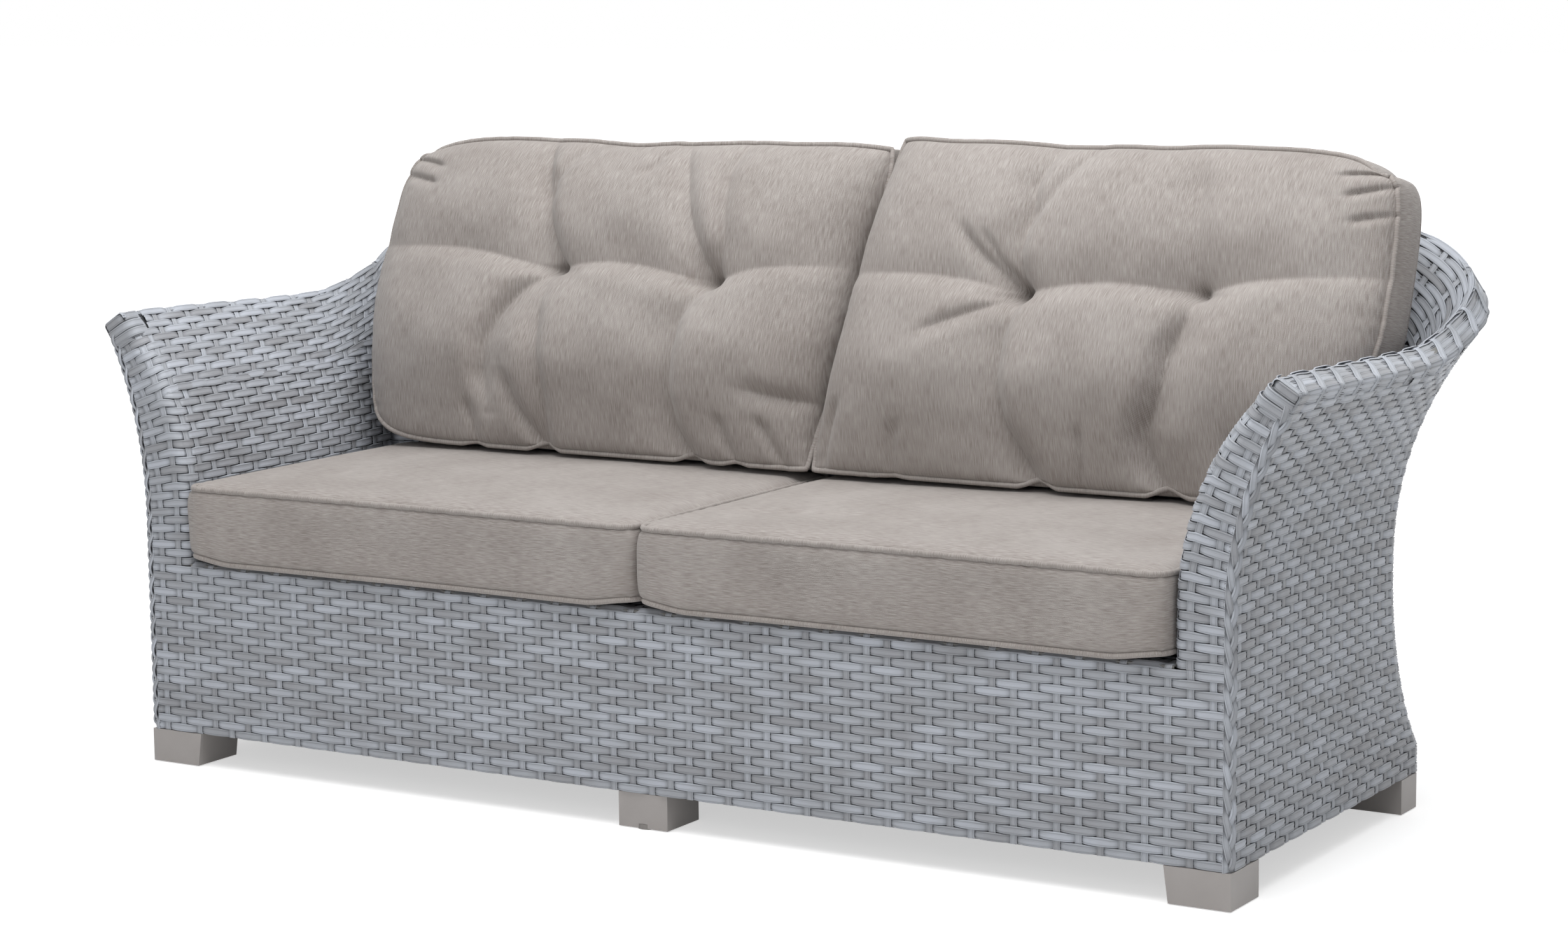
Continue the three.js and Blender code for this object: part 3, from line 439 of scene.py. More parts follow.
def strand_material():
    """Extruded resin strand with a satin skin: blue-grey and warm grey in long patches, ribbed lengthwise."""
    made, tree = bare_material("extruded_resin_strand")
    place = add(tree, "UVMap", uv_map="Run")
    run = add(tree, "SeparateXYZ", {0: place})
    side = run.node.outputs[1]
    tone = add(tree, "Attribute", output="Fac", attribute_name="tone")
    sunk = add(tree, "Attribute", output="Fac", attribute_name="sunk")
    own = add(tree, "Math", {0: tone, 1: 57.0}, operation="MULTIPLY")
    # Patches 100 to 200 mm long, and streaks 30 mm long and a third of the strand wide
    patch_run = add(tree, "Math", {0: run, 1: 7.0}, operation="MULTIPLY")
    patch_at = add(tree, "CombineXYZ", {0: patch_run, 1: own})
    patch = add(tree, "TexNoise", {"Vector": patch_at, "Scale": 1.0, "Detail": 1.0}, noise_dimensions="2D")
    streak_run = add(tree, "Math", {0: run, 1: 32.0}, operation="MULTIPLY")
    streak_side = add(tree, "Math", {0: side, 1: 6.0}, operation="MULTIPLY")
    streak_at = add(tree, "CombineXYZ", {0: streak_run, 1: streak_side, 2: own})
    streak = add(tree, "TexNoise", {"Vector": streak_at, "Scale": 1.0, "Detail": 3.0})
    level = add(tree, "Math", {0: tone, 1: 0.30}, operation="MULTIPLY")
    level = add(tree, "Math", {0: patch, 1: 0.95, 2: level}, operation="MULTIPLY_ADD")
    level = add(tree, "Math", {0: streak, 1: 0.30, 2: level}, operation="MULTIPLY_ADD")
    tint = add(tree, "ValToRGB", {0: level})
    bar = tint.node.color_ramp
    bar.elements[0].position, bar.elements[0].color = 0.54, srgb("9a9ca1")
    bar.elements[1].position, bar.elements[1].color = 1.00, srgb("bcc1ca")
    bar.elements.new(0.77).color = srgb("acb0b7")
    # Ribs and grooves across the strand
    off_middle = add(tree, "Math", {0: side, 1: 0.5}, operation="SUBTRACT")
    off_middle = add(tree, "Math", {0: off_middle}, operation="ABSOLUTE")
    off_middle = add(tree, "Math", {0: off_middle, 1: 2.0}, operation="MULTIPLY")
    across = add(tree, "ValToRGB", {0: off_middle})
    bar = across.node.color_ramp
    for place, shade in RIB_SHADES[1:-1]:
        bar.elements.new(place).color = (shade, shade, shade, 1)
    for element, (place, shade) in zip((bar.elements[0], bar.elements[-1]), (RIB_SHADES[0], RIB_SHADES[-1])):
        element.position, element.color = place, (shade, shade, shade, 1)
    colour = add(tree, "Mix", {0: 1.0, 6: tint, 7: across}, 2, data_type="RGBA", blend_type="MULTIPLY")
    # Painted shade: the strand is darkened towards a near black as far as it is sunk behind others
    shade = add(tree, "Math", {0: sunk, 1: 0.55}, operation="MULTIPLY")
    colour = add(tree, "Mix", {0: shade, 6: colour, 7: srgb("26272a")}, 2, data_type="RGBA")
    # Lines of the die, 1 mm apart, drawn deeper than they are
    lines = add(tree, "Math", {0: side, 1: 75.0}, operation="MULTIPLY")
    lines = add(tree, "Math", {0: lines}, operation="SINE")
    lines = add(tree, "Math", {0: lines, 1: 0.5, 2: streak}, operation="MULTIPLY_ADD")
    relief = add(tree, "Bump", {"Strength": 0.35, "Distance": 0.0006, "Height": lines})
    skin = {"Base Color": colour, "Roughness": 0.45, "IOR": 1.5, "Normal": relief}
    return skinned(made, skin)


def shade_sheet_material():
    """Painted shade seen through the gaps of the weave, for the strands' inner sides in shadow: a dark, dull
    grey.
    """
    made, tree = bare_material("painted_shade_behind_weave")
    place = add(tree, "TexCoord", output="Object")
    cloud = add(tree, "TexNoise", {"Vector": place, "Scale": 60.0})
    colour = add(tree, "Mix", {0: cloud, 6: srgb("242528"), 7: srgb("343539")}, 2, data_type="RGBA")
    return skinned(made, {"Base Color": colour, "Roughness": 0.7})


def coated_material(name, dark, light, rubbed, cloud_scale, grain_scale, roughness, relief):
    """A skin on metal or moulded plastic: a fine grain over slightly uneven colour, in metres."""
    made, tree = bare_material(name)
    place = add(tree, "TexCoord", output="Object")
    cloud = add(tree, "TexNoise", {"Vector": place, "Scale": cloud_scale, "Detail": 3.0})
    grain = add(tree, "TexNoise", {"Vector": place, "Scale": grain_scale, "Detail": 2.0})
    colour = add(tree, "Mix", {0: cloud, 6: srgb(dark), 7: srgb(light)}, 2, data_type="RGBA")
    speck = add(tree, "Math", {0: grain, 1: 0.25}, operation="MULTIPLY")
    colour = add(tree, "Mix", {0: speck, 6: colour, 7: srgb(rubbed)}, 2, data_type="RGBA")
    bumps = add(tree, "Bump", {"Strength": relief, "Distance": 0.0002, "Height": grain})
    skin = {"Base Color": colour, "Roughness": roughness, "Normal": bumps}
    return skinned(made, skin)


# Powder-coated aluminium tube: dull mid grey, with a faint orange peel of about a millimetre
powder_coat = coated_material("powder_coated_aluminium", "6f6e6c", "7c7b78", "666562", 8.0, 900.0, 0.5, 0.15)
# Painted aluminium blocks of the feet: warm grey satin paint, a little uneven
painted = coated_material("painted_aluminium", "a09b98", "aaa5a3", "8f8a87", 26.0, 1400.0, 0.42, 0.2)
# Moulded polyamide pads under the feet: grey as the feet, duller, with a fine mould grain
polyamide = coated_material("moulded_polyamide", "85817e", "8e8a87", "787472", 40.0, 1200.0, 0.65, 0.3)
for name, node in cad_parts.items():
    finish = painted if name.startswith("foot") else polyamide if name.startswith("glide") else powder_coat
    if "weave" not in name and "cushion" not in name:
        for slot in node.material_slots:
            slot.material = finish
strand = strand_material()
shade_sheet = shade_sheet_material()


def shaped(angle):
    """1 while a strand lies over a stake, and -1 behind the next, with a late and quick dive between."""
    share = np.arccos(np.clip(np.cos(angle), -1, 1)) / math.pi
    return 1 - 2 * ease((share - DIVE_START) / (1 - DIVE_START))


class Woven:
    """A face's wefts and stakes, given out to the pieces that they belong to."""

    def __init__(self, face, names, splits, seed, mirror=False):
        self.face = face
        self.names = names
        self.splits = splits
        self.mirror = mirror
        self.random = np.random.default_rng(seed)

    def parts(self, low, high, s):
        """Cuts a run of stakes at the places where one piece ends and the next begins."""
        ends = [low, *[float(np.clip(split(s), low, high)) for split in self.splits], high]
        return [(name, a, b) for name, a, b in zip(self.names, ends, ends[1:]) if b - a > SHORTEST_RUN]

    def weft(self, row, height, low, high, tone, width=WEFT_SHARE * ROW_PITCH, proud=PROUD):
        """One strand that passes over a stake and behind the next."""
        middle = float(height(row, np.array([(low + high) / 2]))[0])
        for name, a, b in self.parts(low, high, middle):
            k = np.linspace(a, b, max(2, int(math.ceil((b - a) * WEFT_STEPS))) + 1)
            s = height(row, k)
            up, out = self.face.directions(k, s)
            over = shaped(math.pi * (k + row))
            centre = self.face.point(k, s) - out * (SWING / 2 * (1 - over) - proud)[..., None]
            run = (k - self.face.last) * STAKE_PITCH * (1 - 2 * self.mirror) + TONE_SHIFT * tone
            taper = 1 + WEFT_TAPER * np.cos(math.pi * (k + row))
            # Where the weft dives behind a stake it is darkened as painted shade
            pieces[name].add(centre, up, out, width * taper, RIBBED, self.mirror, tone, run, clamp01(-over))

    def rows(self, count, height, reach):
        """Rows that are laid wherever they are lower than reach."""
        span = self.face.last - self.face.first
        k = np.linspace(self.face.first, self.face.last, int(span * SHEET_STEPS) + 1)
        for row in range(count):
            tone = self.random.uniform()
            free = height(row, k) < reach(k)
            edges = np.flatnonzero(np.diff(np.concatenate([[0], free.astype(int), [0]])))
            for start, end in zip(edges[::2], edges[1::2] - 1):
                if end > start:
                    self.weft(row, height, k[start], k[end], tone)

    def stakes(self, low, high, drop=0.0, pitch=ROW_PITCH):
        """The upright strands, close to flush with the wefts, that end drop under the face's top."""
        for k in range(math.ceil(low), math.floor(high) + 1):
            if self.mirror and k == self.face.last:
                continue
            top = float(self.face.total(k)) - drop
            s = np.linspace(0.0, top, int(top / ROW_PITCH * 2) + 2)
            up, out = self.face.directions(np.full_like(s, k), s)
            sway = STAKE_SWING * np.cos(math.pi * (k + (s / pitch - 0.5)))
            centre = self.face.point(np.full_like(s, k), s) - out * (STAKE_DEPTH + sway)[..., None]
            name = self.parts(k - 0.5, k + 0.5, top / 2)[0][0] + "_stakes"
            tone = STAKE_TONE * self.random.uniform()
            across = unit(np.cross(up, out))
            # The stakes lie behind the wefts and are darkened a little as painted shade
            pieces[name].add(centre, across, out, STAKE_WIDTH, PLAIN, self.mirror, tone, sunk=STAKE_SHADE)

    def back(self, low, high, drop=0.0):
        """A sheet of painted shade behind the weave, for the strands' inner sides in shadow."""
        for name, a, b in self.parts(low, high, SPLIT_HEIGHT):
            k = np.linspace(a, b, max(3, int((b - a) * SHEET_STEPS)))
            s = np.linspace(0, 1, SHEET_ROWS)[:, None] * (self.face.total(k) - drop)[None, :]
            _, out = self.face.directions(k[None, :], s)
            spots = self.face.point(k[None, :], s) - out * BACKING_DEPTH
            pieces[name].line(spots, out[SHEET_ROWS // 2, len(k) // 2], self.mirror)


pieces = collections.defaultdict(Strands)


def row_height(row, k):
    return np.full_like(k, ROW_PITCH * (row + 0.5))


def round_us(start):
    """Places round the sofa from one on the arm to the middle of the back."""
    return spaced((start, 1, 2, 3), (60, 40, 60))


def arm_share(level, run):
    """A run along the arm from its front, as a share of it."""
    return run / (back_outer_y(level) - corner_radius(level) - front_y(level))


def stretch(ring, u, reference):
    """Where a ring's points stand among the stakes, 0 to 1: half by distance, half by place round it."""
    run = distances(ring)
    share = mix(run / run[-1], np.interp(u, *reference), 0.5)
    return (share - share[0]) / (share[-1] - share[0])


# Outer face: from the braid round to the middle of the back
OUTER_LAST = 49
OUTER_SHARES = ((0, 1, 2, 3), (0, 0.405, 0.505, 1))
LEVELS = spaced((FOOT_HEIGHT, PLINTH_TOP, WAIST_HEIGHT, ARM_TOP), (4, 14, 26))
RIM_COVER = 0.027
ROW_TUCK = 0.0025


def outer_outline(level):
    u = round_us(arm_share(level, BRAID_LAND))
    ring = outer(u, np.full_like(u, level))
    return u, ring, stretch(ring, u, OUTER_SHARES)


outer_face = Face(outer_outline, LEVELS, -0.5, OUTER_LAST)
for word, sign in SIDES:
    names = [f"{name}_weave_{word}" for name in ("side", "rear_corner", "back_outer")]
    woven = Woven(outer_face, names, [outer_face.split(1), outer_face.split(2)], 11, sign < 0)
    highest = int(outer_face.height[-1].max() / ROW_PITCH)
    woven.rows(highest, row_height, lambda k: outer_face.total(k) - RIM_COVER + ROW_TUCK)
    woven.stakes(0, OUTER_LAST, RIM_COVER)
    woven.back(-0.5, OUTER_LAST, RIM_COVER)

# Front rail and the lower arm fronts, as one face whose top rolls back over the rail
FRONT_EDGE = HALF_WIDTH - BRAID_LAND
RAIL_STAKES = 56
RAIL_ROWS = 21
ROLL_ROWS = 3
RAIL_TOP = FOOT_HEIGHT + RAIL_ROWS * ROW_PITCH
ROLL_RADIUS = DECK_TOP - RAIL_TOP
ROLL_DEPTH = 0.0288
ROLL_SUNK = -0.0015
RAIL_END = 0.8475


def rail_profile():
    turn = np.linspace(0, math.pi / 2, 6)
    roll = [(ROLL_RADIUS * (1 - math.cos(a)), RAIL_TOP + ROLL_RADIUS * math.sin(a)) for a in turn]
    return [(0.0, FOOT_HEIGHT), *roll, (ROLL_DEPTH, DECK_TOP)]


def rail_outline(point):
    x = np.linspace(FRONT_EDGE, -FRONT_EDGE, 3)
    ring = np.stack([x, np.full_like(x, FRONT + point[0]), np.full_like(x, point[1])], axis=1)
    return x, ring, np.linspace(0, 1, 3)


rail_face = Face(rail_outline, rail_profile(), -0.5, RAIL_STAKES - 0.5, turn=-1)
rail_first = (FRONT_EDGE - RAIL_END) / (2 * FRONT_EDGE / RAIL_STAKES) - 0.5
rail_last = RAIL_STAKES - 1 - rail_first
rail_names = ["arm_front_weave_right", "front_rail_weave", "arm_front_weave_left"]
rail = Woven(rail_face, rail_names, [lambda s: rail_first, lambda s: rail_last], 12)
rail.rows(RAIL_ROWS, row_height, lambda k: np.full_like(k, ARM_TOP))
for row in range(RAIL_ROWS, RAIL_ROWS + ROLL_ROWS):
    rail.weft(row, row_height, rail_first, rail_last, 0.4 + 0.1 * (row % ROLL_ROWS), proud=ROLL_SUNK)
rail.stakes(2, RAIL_STAKES - 3)
rail.back(rail_first, rail_last)
for low, high in ((-0.5, rail_first), (rail_last, RAIL_STAKES - 0.5)):
    over = float(rail_face.total(0)) - RAIL_ROWS * ROW_PITCH
    rail.back(low, high, over)
    rail.stakes(low, high, over)

# Inner loop: the arm's front, its rounded edge, its inside, the rear corner and the back
INNER_LAST = 44
INNER_ROWS = 32
BAND_ROWS = 12
BAND_SHARE = 0.95
BAND_TUCK = 0.55
INNER_PITCH_LIMIT = 0.0134
INNER_STAKE_PITCH = 0.0131
WEDGE_PITCH = 0.0122
INNER_COVER = 0.004
EDGE_PLACE = 1.7
EDGE_SHARE = 0.55
EDGE_STEPS = 24
INNER_SHARES = ((-1, 0, 1, 2, 3), (0, 0.062, 0.45, 0.50, 1))
INNER_LEVELS = spaced((RAIL_TOP, FLARE_START, ARM_TOP), (5, 26))


def edge_radius(level):
    return min(EDGE_RADIUS, EDGE_SHARE * (float(wall(0.0, level)) - BRAID_LAND))


def inner_outline(level):
    """Places round the inner loop: u from -1 to 0 is the arm's front and its rounded edge."""
    r = edge_radius(level)
    front_u = np.linspace(-1, 0, EDGE_STEPS)
    rest = round_us(arm_share(level, r))[1:]
    u = np.concatenate([front_u, rest])
    flat = float(wall(0.0, level)) - BRAID_LAND - r
    run = (front_u + 1) * (flat + r * math.pi / 2)
    angle = np.clip((run - flat) / r, 0, math.pi / 2)
    depth = BRAID_LAND + np.minimum(run, flat) + r * np.sin(angle)
    front = inside(np.zeros(EDGE_STEPS), np.full(EDGE_STEPS, level), depth)
    front[:, 1] = FRONT + front_y(level) + r * (1 - np.cos(angle))
    ring = np.concatenate([front, inside(rest, np.full_like(rest, level), wall(rest, level))])
    return u, ring, stretch(ring, u, INNER_SHARES)


inner_face = Face(inner_outline, INNER_LEVELS, -0.5, INNER_LAST, turn=-1)


def inner_pitch(k):
    return np.minimum(inner_face.total(k) / INNER_ROWS, INNER_PITCH_LIMIT)


def band_height(row, k):
    return inner_face.total(k) - inner_pitch(k) * (INNER_ROWS - row - 0.5)


def wedge_height(row, k):
    return inner_pitch(k) * (row + 0.5)


def wedge_reach(k):
    return inner_face.total(k) - inner_pitch(k) * (BAND_ROWS - BAND_TUCK)


RIM_ROWS = 2
RIM_PROUD = 0.0010
TIP_ROWS_START = 2.3
TIP_STRIPS = ((0.0072, 0.0134), (0.0192, 0.0138), (0.0312, 0.0138))
rim_split = float(inner_face.passing(2, INNER_LEVELS[-1:])[0])
inner_splits = [lambda s: EDGE_PLACE, inner_face.split(1), inner_face.split(2)]
for word, sign in SIDES:
    names = [f"{name}_weave_{word}" for name in ("arm_front", "arm_inner", "inner_corner", "back_inner")]
    woven = Woven(inner_face, names, inner_splits, 13, sign < 0)
    rims = Woven(inner_face, [f"rim_weave_{word}", "rim_weave_back"], [lambda s: rim_split], 14, sign < 0)
    for j in range(BAND_ROWS):
        tone = woven.random.uniform()
        maker, proud = (rims, RIM_PROUD) if j < RIM_ROWS else (woven, PROUD)
        start = TIP_ROWS_START if j < len(TIP_STRIPS) else -0.5
        width = INNER_PITCH_LIMIT * BAND_SHARE
        maker.weft(INNER_ROWS - 1 - j, band_height, start, INNER_LAST, tone, width, proud)
    woven.rows(int(inner_face.height[-1].max() / WEDGE_PITCH), wedge_height, wedge_reach)
    woven.stakes(0, INNER_LAST, INNER_COVER, INNER_STAKE_PITCH)
    woven.back(-0.5, INNER_LAST, INNER_COVER)

# Rim: strips laid along it and strands looped over them
RIM_CORNER = 0.007
RIM_SIDE = RIM_HEIGHT - RIM_CORNER
RIM_TURN = RIM_CORNER * math.pi / 2
RIM_STRIPS = (
    (0.0030, 0.0132), (0.0162, 0.0126), (0.0270, 0.0085), (0.0375, 0.0112), (0.0484, 0.0112),
    (0.0592, 0.0112), (0.0690, 0.0090),
)
RIM_START = 0.001
UNDER_STRIP = -0.0036
UNDER_DEPTH = 0.0017
LOOP_COUNT = 28
LOOP_WIDTH = 0.0120
LOOP_TONES = (0.75, 1.0)
LOOP_END = 0.078
LOOP_LEAN_RUN = 0.040
LOOP_TUCK = 0.003
STRIP_DEPTH = 0.0006
STRIP_DIP = 0.0014
STRIP_SWELL = 0.06
STRIP_SHADE = 0.5
STRIP_STEP = 0.006
RIM_SIDE_RUN = RIM_ARM_RUN + RIM_CORNER_RUN
RIM_RUN = RIM_SIDE_RUN + RIM_BACK_RUN
LINING_SHADE = 0.7
RIM_LINING_DEPTH = 0.0027
RIM_LINING_END = 0.082


def rim_u(distance):
    """The share of the way round the sofa that a distance along the rim's outside takes."""
    return np.interp(distance, np.cumsum([0, RIM_ARM_RUN, RIM_CORNER_RUN, RIM_BACK_RUN]), (0, 1, 2, 3))


def rim_section(t, u):
    """Where a distance t round the rim's section is, from its outer bottom edge, with the way it faces."""
    half = wall(u, ARM_TOP) / 2 + RIM_OVERHANG
    flat = 2 * (half - RIM_CORNER)
    t = np.broadcast_to(t, half.shape)
    first = np.clip((t - RIM_SIDE) / RIM_CORNER, 0, math.pi / 2)
    second = np.clip((t - RIM_SIDE - RIM_TURN - flat) / RIM_CORNER, 0, math.pi / 2)
    angle = first + second
    run = np.clip(t - RIM_SIDE - RIM_TURN, 0, flat)
    after = np.maximum(t - RIM_SIDE - 2 * RIM_TURN - flat, 0)
    across = half - RIM_CORNER - run + RIM_CORNER * np.cos(angle)
    high = RIM_HEIGHT / 2 - RIM_CORNER + RIM_CORNER * np.sin(angle) - np.maximum(RIM_SIDE - t, 0) - after
    return across, high, np.cos(angle), np.sin(angle)


def rim_place(t, u, depth):
    """Points of the rim and the way they face, depth under the outside of its loops."""
    _, up, out = slopes(u, np.full_like(u, ARM_TOP))
    centre = inside(u, np.full_like(u, ARM_TOP), wall(u, ARM_TOP) / 2) - up * RIM_HEIGHT / 2
    across, high, facing_out, facing_up = rim_section(t, u)
    facing = out * facing_out[:, None] + up * facing_up[:, None]
    return centre + out * across[:, None] + up * high[:, None] - facing * np.asarray(depth)[..., None], facing


TIP_ROUND = 0.009
TIP_INNER_ROUND = 0.018
TIP_REACH = 0.030
TIP_PROUD = 0.0016
TIP_OVER = 0.0056
TIP_LINING_DEPTH = 0.0040


def tip_path(fall, proud=TIP_PROUD):
    """Points round the arm's front end, fall below its top, from outside to inside, and two directions."""
    level = np.float64(ARM_TOP - fall)
    thick = float(wall(0.0, level))
    turn = np.linspace(0, math.pi / 2, 9)
    sides = [(0.0, y, 0.0) for y in np.linspace(TIP_REACH, TIP_ROUND, 6)[:-1]]
    first = [(TIP_ROUND * (1 - math.cos(a)), TIP_ROUND * (1 - math.sin(a)), a) for a in turn]
    r = TIP_INNER_ROUND
    second = [(thick - r + r * math.sin(a), r * (1 - math.cos(a)), math.pi / 2 + a) for a in turn]
    ends = [(thick, y, math.pi) for y in np.linspace(r, TIP_REACH, 6)[1:]]
    depth, y, angle = np.array(sides + first + second + ends).T
    _, up, out = slopes(np.zeros_like(depth), np.full_like(depth, level))
    facing = out * np.cos(angle)[:, None] - np.array([0.0, 1.0, 0.0]) * np.sin(angle)[:, None]
    centre = outer(np.zeros_like(depth), np.full_like(depth, level)) - out * depth[:, None]
    centre[:, 1] = FRONT + front_y(level) + y
    return centre + facing * proud, up, facing


def lay(name, placed, *looks):
    """Adds a strand along points of the rim, which come with the way they face."""
    centre, facing = placed
    pieces[name].add(centre, sideways(centre, facing), facing, *looks)


loop_pitch = RIM_RUN / LOOP_COUNT
for word, sign in SIDES:
    mirror = sign < 0
    side_rim, back_rim = f"rim_weave_{word}", "rim_weave_back"
    spans = ((side_rim, RIM_START, RIM_SIDE_RUN), (back_rim, RIM_SIDE_RUN, RIM_RUN))
    random = np.random.default_rng(15)
    for t, width in RIM_STRIPS:
        tone = random.uniform()
        for name, low, high in spans:
            distance = np.linspace(low, high, int((high - low) / STRIP_STEP))
            swell = np.cos(2 * math.pi * distance / loop_pitch)
            placed = rim_place(t, rim_u(distance), STRIP_DEPTH + STRIP_DIP * (1 - swell) / 2)
            run = (distance - RIM_RUN) * sign + TONE_SHIFT * tone
            # Where a strip dips under a loop it is darkened as painted shade
            sunk = STRIP_SHADE * clamp01(-0.3 - swell)
            lay(name, placed, width * (1 + STRIP_SWELL * swell), RIBBED, mirror, tone, run, sunk)
    # A strip behind the ends of the rows, under the rim's lower edge, darkened a little as painted shade
    for name, low, high in spans:
        distance = np.linspace(low, high, int((high - low) / (2 * STRIP_STEP)))
        placed = rim_place(UNDER_STRIP, rim_u(distance), UNDER_DEPTH)
        lay(name, placed, ROW_PITCH, PLAIN, mirror, 0.3, None, 0.25)
    for i in range(LOOP_COUNT):
        place = (i + 0.5) * loop_pitch
        t = np.linspace(-0.0005, LOOP_END, 30)
        lean = ease((t - RIM_SIDE) / LOOP_LEAN_RUN) * loop_pitch / 2
        tuck = LOOP_TUCK * (1 - ease(t / 0.004)) + LOOP_TUCK * ease((t - 0.073) / 0.005)
        placed = rim_place(t, rim_u(place + lean - loop_pitch / 4), tuck)
        name = side_rim if place < RIM_SIDE_RUN else back_rim
        lay(name, placed, LOOP_WIDTH, RIBBED, mirror, random.uniform(*LOOP_TONES))
    # The strand over the rim's front end, and the strips that go round the arm's tip
    t = np.linspace(0.004, LOOP_END, 30)
    placed = rim_place(t, np.full_like(t, TIP_OVER / RIM_ARM_RUN), np.full_like(t, 0.0001))
    lay(side_rim, placed, 2 * TIP_OVER, RIBBED, mirror, 0.7)
    for fall, width in TIP_STRIPS:
        pieces[side_rim].add(*tip_path(fall), width, RIBBED, mirror, random.uniform())
    # A sheet under the strips round the tip, darkened as painted shade where it shows between them
    falls = np.linspace(0.005, 0.038, 5)
    sheet = np.stack([tip_path(fall, TIP_PROUD - TIP_LINING_DEPTH)[0] for fall in falls], axis=1)
    pieces[side_rim].grid(sheet, (0.0, 0.5), 0.3, tip_path(0.02)[2][20], mirror, sunk=LINING_SHADE)
    # Sheets of painted shade under the rim's loops
    for name, low, high in ((side_rim, 0.0, 2.0), (back_rim, 2.0, 3.0)):
        u = np.linspace(low, high, 60)
        strips = [rim_place(t, u, RIM_LINING_DEPTH) for t in np.linspace(0, RIM_LINING_END, 16)]
        pieces[name].line(np.stack([spots for spots, _ in strips], axis=1), strips[8][1][30], mirror)

# Plait down each front corner
PLAIT_LEVELS = (FOOT_HEIGHT, 0.684)
PLAIT_TURN = 0.100
PLAIT_SWING = 0.0060
PLAIT_RISE = 0.0032
PLAIT_STRAND = 0.0094
PLAIT_PROUD = 0.0042
PLAIT_LEAN = 0.3
PLAIT_SHADE = 0.75
PLAIT_TUCK = 0.004
LINING_HALF = 0.010
LINING_PROUD = 0.0024
LINING_FALL = 0.45
CONVEX = (
    (-0.5, -0.0034), (-0.40, -0.0008), (-0.26, 0), (-0.13, -0.0005), (0, 0),
    (0.13, -0.0005), (0.26, 0), (0.40, -0.0008), (0.5, -0.0034),
)
for word, sign in SIDES:
    plait = pieces[f"corner_plait_{word}"]
    level = np.linspace(*PLAIT_LEVELS, 260)
    zero = np.zeros_like(level)
    out = slopes(zero, level)[2]
    backwards = np.broadcast_to((0.0, 1.0, 0.0), out.shape)
    across = unit(out + backwards)
    proud = unit(out - backwards)
    corner = inside(zero, level, np.full_like(level, BRAID_LAND / 2))
    corner[:, 1] = FRONT + front_y(level) + BRAID_LAND / 2
    run = distances(corner)
    tuck = PLAIT_TUCK * (1 - ease(run / 0.01)) + PLAIT_TUCK * ease((run - run[-1] + 0.012) / 0.012)
    for turn in range(3):
        phase = 2 * math.pi * (run / PLAIT_TURN + turn / 3)
        rise = PLAIT_PROUD + PLAIT_RISE * np.sin(2 * phase) - tuck
        centre = corner + across * (PLAIT_SWING * np.sin(phase))[:, None] + proud * rise[:, None]
        lean = unit(proud + across * (PLAIT_LEAN * np.sin(phase))[:, None])
        # Where a plait strand dips under the others it is darkened as painted shade
        sunk = PLAIT_SHADE * clamp01(-np.sin(2 * phase)) ** 2
        tone = 0.25 + 0.2 * turn
        plait.add(centre, sideways(centre, lean), lean, PLAIT_STRAND, CONVEX, sign < 0, tone, None, sunk)
    # A broad strand bound over the corner under the plait, so that no gap shows beside it. It is darkened as
    # painted shade under the plait.
    places = (-LINING_HALF, 0, LINING_HALF)
    spots = [corner + across * i + proud * (LINING_PROUD - LINING_FALL * abs(i)) for i in places]
    uv = paired(run, np.array((0.3, 0.5, 0.7)))
    plait.grid(np.stack(spots, axis=1), uv, 0.2, proud[len(proud) // 2], sign < 0, sunk=LINING_SHADE)

# Seat deck: the same weave, laid flat between the arms and the back
DECK_STEPS = 3
DECK_START = 0.05
DECK_INSET = 0.001
DECK_STAKES = 25
deck = pieces["seat_deck_weave"]
deck_u = spaced((DECK_START, 1, 2, 3), (30, 30, 30))
deck_edge = inside(deck_u, np.full_like(deck_u, DECK_TOP), wall(deck_u, DECK_TOP))
deck_start = FRONT + ROLL_DEPTH
random = np.random.default_rng(16)


def lay_flat(x, y, z, way, width):
    """A strand of the deck through these places."""
    centre = np.stack(np.broadcast_arrays(x, y, z), axis=1)
    flat = np.broadcast_to(way, centre.shape)
    top = np.broadcast_to((0.0, 0.0, 1.0), centre.shape)
    deck.add(centre, flat, top, width, PLAIN, False, random.uniform())


for row in range(int((deck_edge[-1, 1] - deck_start) / ROW_PITCH)):
    y = deck_start + ROW_PITCH * (row + 0.5)
    arm_edge = deck_edge[:60]
    reach_x = float(np.interp(y, arm_edge[:, 1], arm_edge[:, 0])) - DECK_INSET
    x = np.linspace(-reach_x, reach_x, int(2 * reach_x / STAKE_PITCH * DECK_STEPS))
    over = shaped(math.pi * (x / STAKE_PITCH + row))
    lay_flat(x, y, DECK_TOP - SWING / 2 * (1 - over), (0.0, 1.0, 0.0), ROW_PITCH * WEFT_SHARE)
for k in range(-DECK_STAKES, DECK_STAKES + 1):
    x = k * STAKE_PITCH
    far = float(np.interp(-abs(x), -deck_edge[:, 0], deck_edge[:, 1])) - DECK_INSET
    y = np.linspace(deck_start, far, int((far - deck_start) / ROW_PITCH * 2))
    sway = STAKE_SWING * np.cos(math.pi * (k + (y - deck_start) / ROW_PITCH - 0.5))
    lay_flat(x, y, DECK_TOP - STAKE_DEPTH - sway, (1.0, 0.0, 0.0), STAKE_WIDTH)
# A sheet of painted shade under the deck's weave
ring = deck_edge - np.array([0, 0, BACKING_DEPTH])
deck.line(np.stack([mirrored(ring), ring], axis=1), np.array([0, 0, 1.0]))

